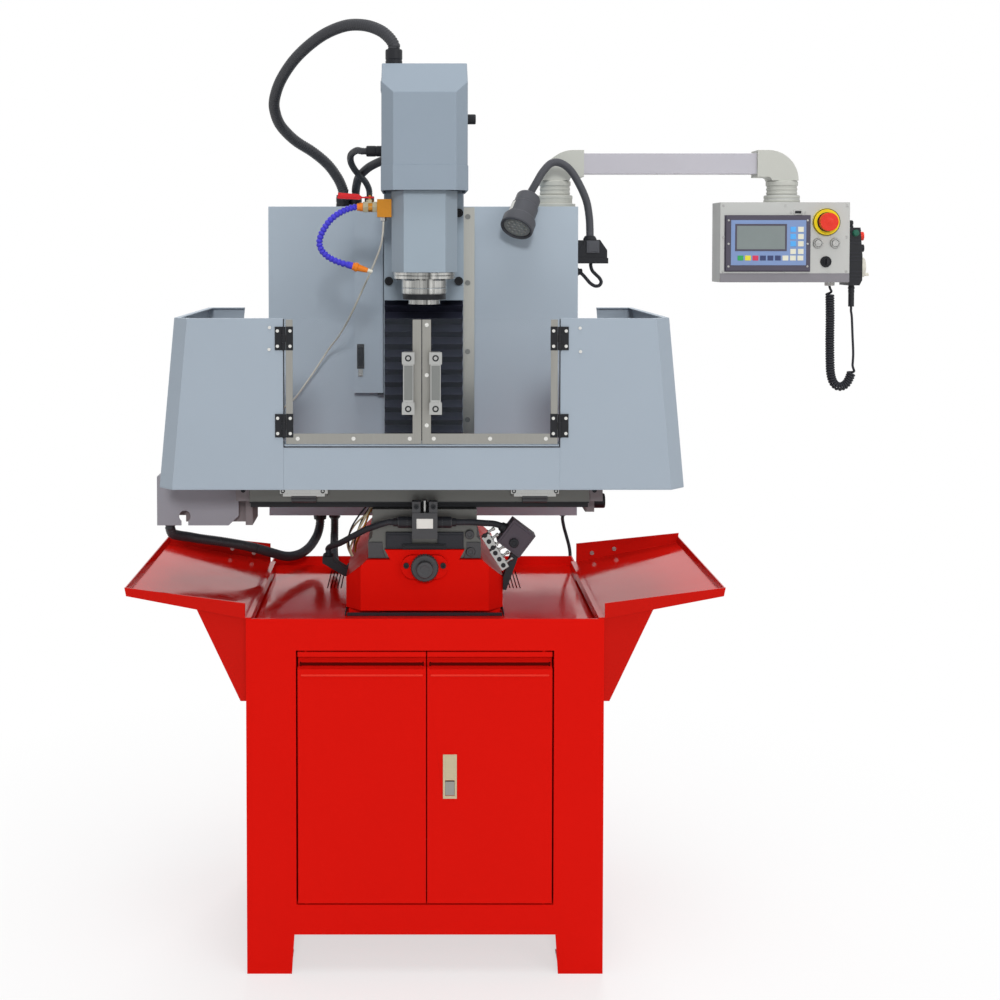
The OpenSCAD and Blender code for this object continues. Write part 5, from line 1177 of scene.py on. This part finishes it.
# Operator panel: bezel, sill, key sheet, screen and keys
FACE = 290.0
SCREW_Y, COLLAR_Y = FACE - 0.6, FACE + 0.1
spots = grid((666, 803, 940), SCREW_Y, (1294.5, 1441)) + grid((666, 940), SCREW_Y, (1371,))
add_fasteners("panel_screws", "panel", spots, (5.5, 1.4, 0.6), bright_steel)
add_blocks(
    "panel_bezel", "panel", bezel_grey, 0.6,
    ((671, 284.2, 1296.2), (857, 285.6, 1417.4)), ((668.5, 288.6, 1294), (859.5, 290.4, 1419.6)),
)
add_blocks(
    "panel_sill", "panel", sill_enamel, 0.5,
    ((659.4, FACE - 1.0, 1270.8), (946.6, FACE + 0.5, 1290.5)), ((661, FACE - 1.3, 1288.4), (945, FACE, 1290.2)),
)
add_blocks(
    "key_sheet", "panel", sheet_periwinkle, 0.2,
    ((682, 283.6, 1308.5), (848.5, 284.6, 1408.5)), ((684, 283.4, 1310.5), (846.5, 284, 1406.5)),
)
screen_rim = Shape().prism(rectangle(691, 1340, 805.5, 1400), "Y", 282.7, 284, rectangle(695, 1344, 801.5, 1396))
screen_rim.piece("screen_rim", "panel", bezel_grey, 0.3)
add_blocks(
    "screen", "panel", screen_grey, 0.1,
    ((694.6, 283.2, 1343.6), (801.9, 284, 1396.4)), ((697, 283.0, 1346), (799.5, 283.6, 1394)),
)
spots = grid((676.5, 851.5), 283.6, (1306, 1356, 1408))
add_fasteners("bezel_screws", "panel", spots, (4.6, 1.2, 0.5), bright_steel)
KEY_FRONT, KEY_FOOT = 282.7, 283.8
SIDE_ROWS = (1388, 1372, 1356, 1339)
SIDE_KEY, BOTTOM_KEY = (12.5, 11.5), (13.0, 11.0)
bottom_row = [(703 + 16.6 * i, 1324.5) for i in range(9)]
KEYS = (
    ("sky", key_sky, [(819.5, z) for z in SIDE_ROWS[:3]], SIDE_KEY),
    ("cream", key_cream, [(819.5, SIDE_ROWS[3])] + [(836.5, z) for z in SIDE_ROWS], SIDE_KEY),
    ("green", key_green, bottom_row[:1], BOTTOM_KEY),
    ("yellow", key_yellow, bottom_row[1:2], BOTTOM_KEY),
    ("rose", key_rose, bottom_row[2:3], BOTTOM_KEY),
    ("navy", key_navy, bottom_row[3:6], BOTTOM_KEY),
    ("white", key_cream, bottom_row[6:], BOTTOM_KEY),
)
for name, material, spots, (width, height) in KEYS:
    keys = Shape()
    for x, z in spots:
        keys.box((x - width / 2, KEY_FRONT, z - height / 2), (x + width / 2, KEY_FOOT, z + height / 2))
    keys.piece("keys_" + name, "panel", material, 1.0)

# Operator panel: switches and data socket
STOP_X, STOP_Z = 894, 1404.3
add_turned(
    "stop_plate", "panel", plate_yellow, 0.3,
    [(20.9, 0), (30.4, 0), (30.4, 4.5), (28.4, 6.3), (21.5, 6.3), (20.9, 5.7)], (STOP_X, FACE + 0.2, STOP_Z), FRONT, 48,
    True,
)
add_turned(
    "stop_cap", "stop_button", stop_red, 0.5,
    [(17.6, 0.8), (20.3, 2.0), (20.3, 8), (19.3, 11.4), (14, 14.2), (6, 15.0), (0, 15.1)], (STOP_X, 278.4, STOP_Z),
    FRONT, 48,
)
for name, x in (("start", 876), ("reset", 914)):
    add_turned(
        name + "_collar", "panel", bright_steel, 0.3, [(11.4, 0), (11.4, 2), (10.2, 4.6), (8.4, 4.6), (8.4, 3)],
        (x, COLLAR_Y, 1357.3), FRONT, 32,
    )
add_turned(
    "key_collar", "panel", black_enamel, 0.3, [(12.4, 0), (12.4, 2.4), (11.0, 4), (9.4, 4), (9.4, 2)],
    (STOP_X, COLLAR_Y, 1316.3), FRONT, 32,
)
data_socket = Shape().prism(
    rectangle(822, 1420.5, 841, 1431.5), "Y", FACE - 1.6, FACE + 0.4, rectangle(824.5, 1423, 838.5, 1429)
)
data_socket.piece("data_socket", "panel", bright_steel, 0.4)
add_blocks(
    "data_slot", "panel", black_plastic, 0.2,
    ((824.3, FACE - 0.8, 1422.8), (838.7, FACE + 0.4, 1429.2)), ((826, FACE - 1.4, 1425), (837, FACE, 1427)),
)
add_fasteners("data_screws", "panel", grid((816, 847), SCREW_Y, (1426,)), (5, 1.4, 0.6), bright_steel)

# Pendant: ribs, gland, strain relief and lamp
PENDANT_Y = 330
RELIEF_X, RELIEF_RINGS, RELIEF_STEP = 964, 6, 7.5
ribs = Shape()
for z in (1276, 1284, 1292, 1318, 1326, 1334, 1356, 1364, 1384):
    ribs.box((950, 296.2, z), (974, 297.6, z + 3.2)).box((950, 362.4, z), (974, 363.8, z + 3.2))
ribs.piece("pendant_ribs", "panel", black_rubber, 0.4, "black_plastic")
add_turned(
    "pendant_gland", "panel", black_plastic, 0.4,
    [(7, 0), (7, 5), (5.8, 5.6), (5.8, 7), (7, 7.6), (7, 14), (4.6, 17)], (960, PENDANT_Y, 1392), UP, 18,
)
relief = Shape()
for i in range(RELIEF_RINGS):
    radius = 7.4 - 0.5 * i
    relief.turned([(radius, 0), (radius, 5)], (RELIEF_X, PENDANT_Y, 1259.5 - RELIEF_STEP * i), DOWN, 18)
relief.turned([(4.4, 0), (3.6, 47)], (RELIEF_X, PENDANT_Y, 1263), DOWN, 16)
relief.piece("pendant_relief", "panel", black_rubber, 0.4)
add_turned(
    "pendant_lamp", "panel", lamp_green, 0.3, [(7.6, 0), (7.6, 3), (6.8, 3.6), (6.6, 5.6), (5.4, 6.8), (0, 7)],
    (962, 297.4, 1380), FRONT, 24,
)

# Thin oil lines beside the saddle, the hose and lead under the box, and glands
for i, (diameter, material, points) in enumerate(OIL_LINES):
    line = smooth_route(points)
    moving_cord(
        "oil_line_%d" % (i + 1), line, diameter, material, SMOOTH, (),
    )
fixed_cord("base_hose", smooth_route(BASE_HOSE_ROUTE), 18, conduit_nylon, LEAD_RIBS)
fixed_cord("supply_lead", smooth_route(SUPPLY_ROUTE), 7.5, black_rubber, SMOOTH)


def gland_profile(radius, height):
    """Profile of a cable gland: foot, groove and rounded nut."""
    return [
        (radius, 0), (radius, 0.3 * height), (0.9 * radius, 0.34 * height), (0.9 * radius, 0.42 * height),
        (radius, 0.46 * height), (radius, 0.8 * height), (0.74 * radius, height), (0, height),
    ]


# Radius, height, place and direction of each gland on the electrics box, the base and the stand
GLANDS = {
    "under_glands": (
        (13, 20, (-200, 330, 754.4), DOWN), (8, 14, (316, 330, 754.4), DOWN), (14.6, 21, (-233, 330, 754.4), DOWN),
        (13, 8, (-150.4, 60, 682), LEFT), (8, 18, (300, 259.6, 590), BACK),
    ),
    "roof_glands": (
        (16.2, 28.6, (-180, 345, 1437.6), UP), (10.8, 24.6, (-120, 315, 1437.6), UP),
        (13.8, 26.6, (-152, 350, 1437.6), UP),
    ),
}
for name, rows in GLANDS.items():
    glands = Shape()
    for radius, height, at, axis in rows:
        glands.turned(gland_profile(radius, height), at, axis, 12)
    glands.piece(name, "base", black_plastic, 0.4)

# Arm: painted tube between the cast elbows, and threaded collars
arm_tube = Shape().prism(
    rectangle(317.2, 1512.5, 362.8, 1558.1), "X", 357.4, 747.6, rectangle(319, 1514, 361, 1556.4)
)
arm_tube.piece("arm_tube", "arm", lilac_enamel, 1.2)
SLEEVE_RINGS = ((1467, 1472, 34.2), (1476, 1481, 34.2), (1486, 1496, 35.4))
ARM_Y = 340
# Place across, lower and upper edge and radius of each collar
ARM_COLLARS = {
    "base": ((297, 1440, 1447, 40.2), (297, 1457, 1463.5, 39.8)),
    "arm": [(x, *ring) for x in (297, 808) for ring in SLEEVE_RINGS],
    "panel": ((808, 1449.5, 1454.5, 40.2), (808, 1458, 1463.4, 39.8)),
}
for body, rows in ARM_COLLARS.items():
    collars = Shape()
    for x, low, high, radius in rows:
        inside, edge = radius - 4, radius - 0.8
        profile = [(inside, low), (edge, low), (radius, low + 0.8), (radius, high - 0.8), (edge, high), (inside, high)]
        collars.turned(profile, (x, ARM_Y, 0), UP, 40, True)
    collars.piece("arm_collars_" + body, body, cast_enamel, 0.4)


# Stage

FLOOR_FADE = (0.35, 1.5)
FLOOR_LIFT = 0.6
FLOOR_RADIUS = 40.0
WHITE = (1, 1, 1, 1)
WORLD_LIGHT = 0.32
CAMERA_PLACE = (-0.0197, -2.7861, 1.3493)
CAMERA_PITCH = 2.0
CAMERA_SENSOR, CAMERA_LENS = 36, 49.85
CAMERA_SHIFT = (0.0857, -0.2048)


def seen_directly(tree):
    """One for rays that the camera, a reflection or clear sheet looks along, nought for light on the object."""
    path = add_node(tree, "ShaderNodeLightPath").outputs
    through = arithmetic(tree, "MAXIMUM", path["Is Camera Ray"], path["Is Transmission Ray"])
    return arithmetic(tree, "MAXIMUM", through, path["Is Glossy Ray"])


def add_floor():
    """A wide pale floor that keeps the object's shadow and runs out into the white background."""
    shape = bmesh.new()
    bmesh.ops.create_circle(shape, cap_ends=True, segments=64, radius=FLOOR_RADIUS)
    mesh = bpy.data.meshes.new("floor")
    shape.to_mesh(mesh)
    shape.free()
    material, tree, shader = new_material("pale_floor")
    set_inputs(shader, Base_Color=(0.82, 0.82, 0.82, 1), Roughness=0.8, Specular_IOR_Level=0.1)
    place = add_node(tree, "ShaderNodeTexCoord")
    away = add_node(tree, "ShaderNodeVectorMath", {0: place.outputs["Object"]}, operation="LENGTH")
    far = add_node(
        tree, "ShaderNodeMapRange", {"Value": away.outputs["Value"]},
        From_Min=FLOOR_FADE[0], From_Max=FLOOR_FADE[1], To_Min=FLOOR_LIFT,
    )
    shown = arithmetic(tree, "MULTIPLY", far.outputs["Result"], seen_directly(tree))
    white = add_node(tree, "ShaderNodeEmission", Color=WHITE, Strength=1.0)
    mix = add_node(tree, "ShaderNodeMixShader", {0: shown, 1: shader.outputs[0], 2: white.outputs[0]})
    tree.links.new(mix.outputs[0], tree.nodes["Material Output"].inputs["Surface"])
    mesh.materials.append(material)
    link_object("floor", mesh)


def add_world():
    """Soft even light, with a plain white background for the camera and for reflections."""
    world = bpy.data.worlds.new("studio")
    bpy.context.scene.world = world
    world.use_nodes = True
    tree = world.node_tree
    tree.nodes.clear()
    light = add_node(tree, "ShaderNodeBackground", Color=(0.98, 0.99, 1, 1), Strength=WORLD_LIGHT)
    white = add_node(tree, "ShaderNodeBackground", Color=WHITE, Strength=1.0)
    mix = add_node(tree, "ShaderNodeMixShader", {0: seen_directly(tree), 1: light.outputs[0], 2: white.outputs[0]})
    add_node(tree, "ShaderNodeOutputWorld", {"Surface": mix.outputs[0]})


def add_softbox(name, place, target_height, size, power, glint=False):
    """A square soft lamp turned to the object, which leaves a highlight of its own only where it has a glint."""
    data = bpy.data.lights.new(name, "AREA")
    data.shape = "RECTANGLE"
    data.size = data.size_y = size
    data.energy = power
    lamp = link_object(name, data)
    lamp.location = place
    aim = Vector((0, 0, target_height)) - Vector(place)
    lamp.rotation_euler = aim.to_track_quat("-Z", "Y").to_euler()
    lamp.visible_glossy = glint


def add_camera():
    data = bpy.data.cameras.new("camera")
    data.sensor_width = CAMERA_SENSOR
    data.lens = CAMERA_LENS
    data.shift_x, data.shift_y = CAMERA_SHIFT
    camera = link_object("camera", data)
    camera.location = CAMERA_PLACE
    camera.rotation_euler = (math.radians(90 - CAMERA_PITCH), 0, 0)
    bpy.context.scene.camera = camera


add_floor()
add_world()
add_softbox("front", (-0.02, -11.0, 5.0), 0.95, 1.6, 510)
add_softbox("key", (3.6, -5.2, 3.6), 0.9, 3.2, 60, True)
add_softbox("fill", (-3.6, -5.6, 2.4), 0.9, 3.2, 2, True)
add_softbox("top", (0.2, -0.8, 5.2), 1.0, 3.0, 100)
add_softbox("back", (0.6, 6.0, 5.0), 1.0, 3.2, 340)
add_camera()
bpy.context.scene.view_settings.view_transform = "Standard"
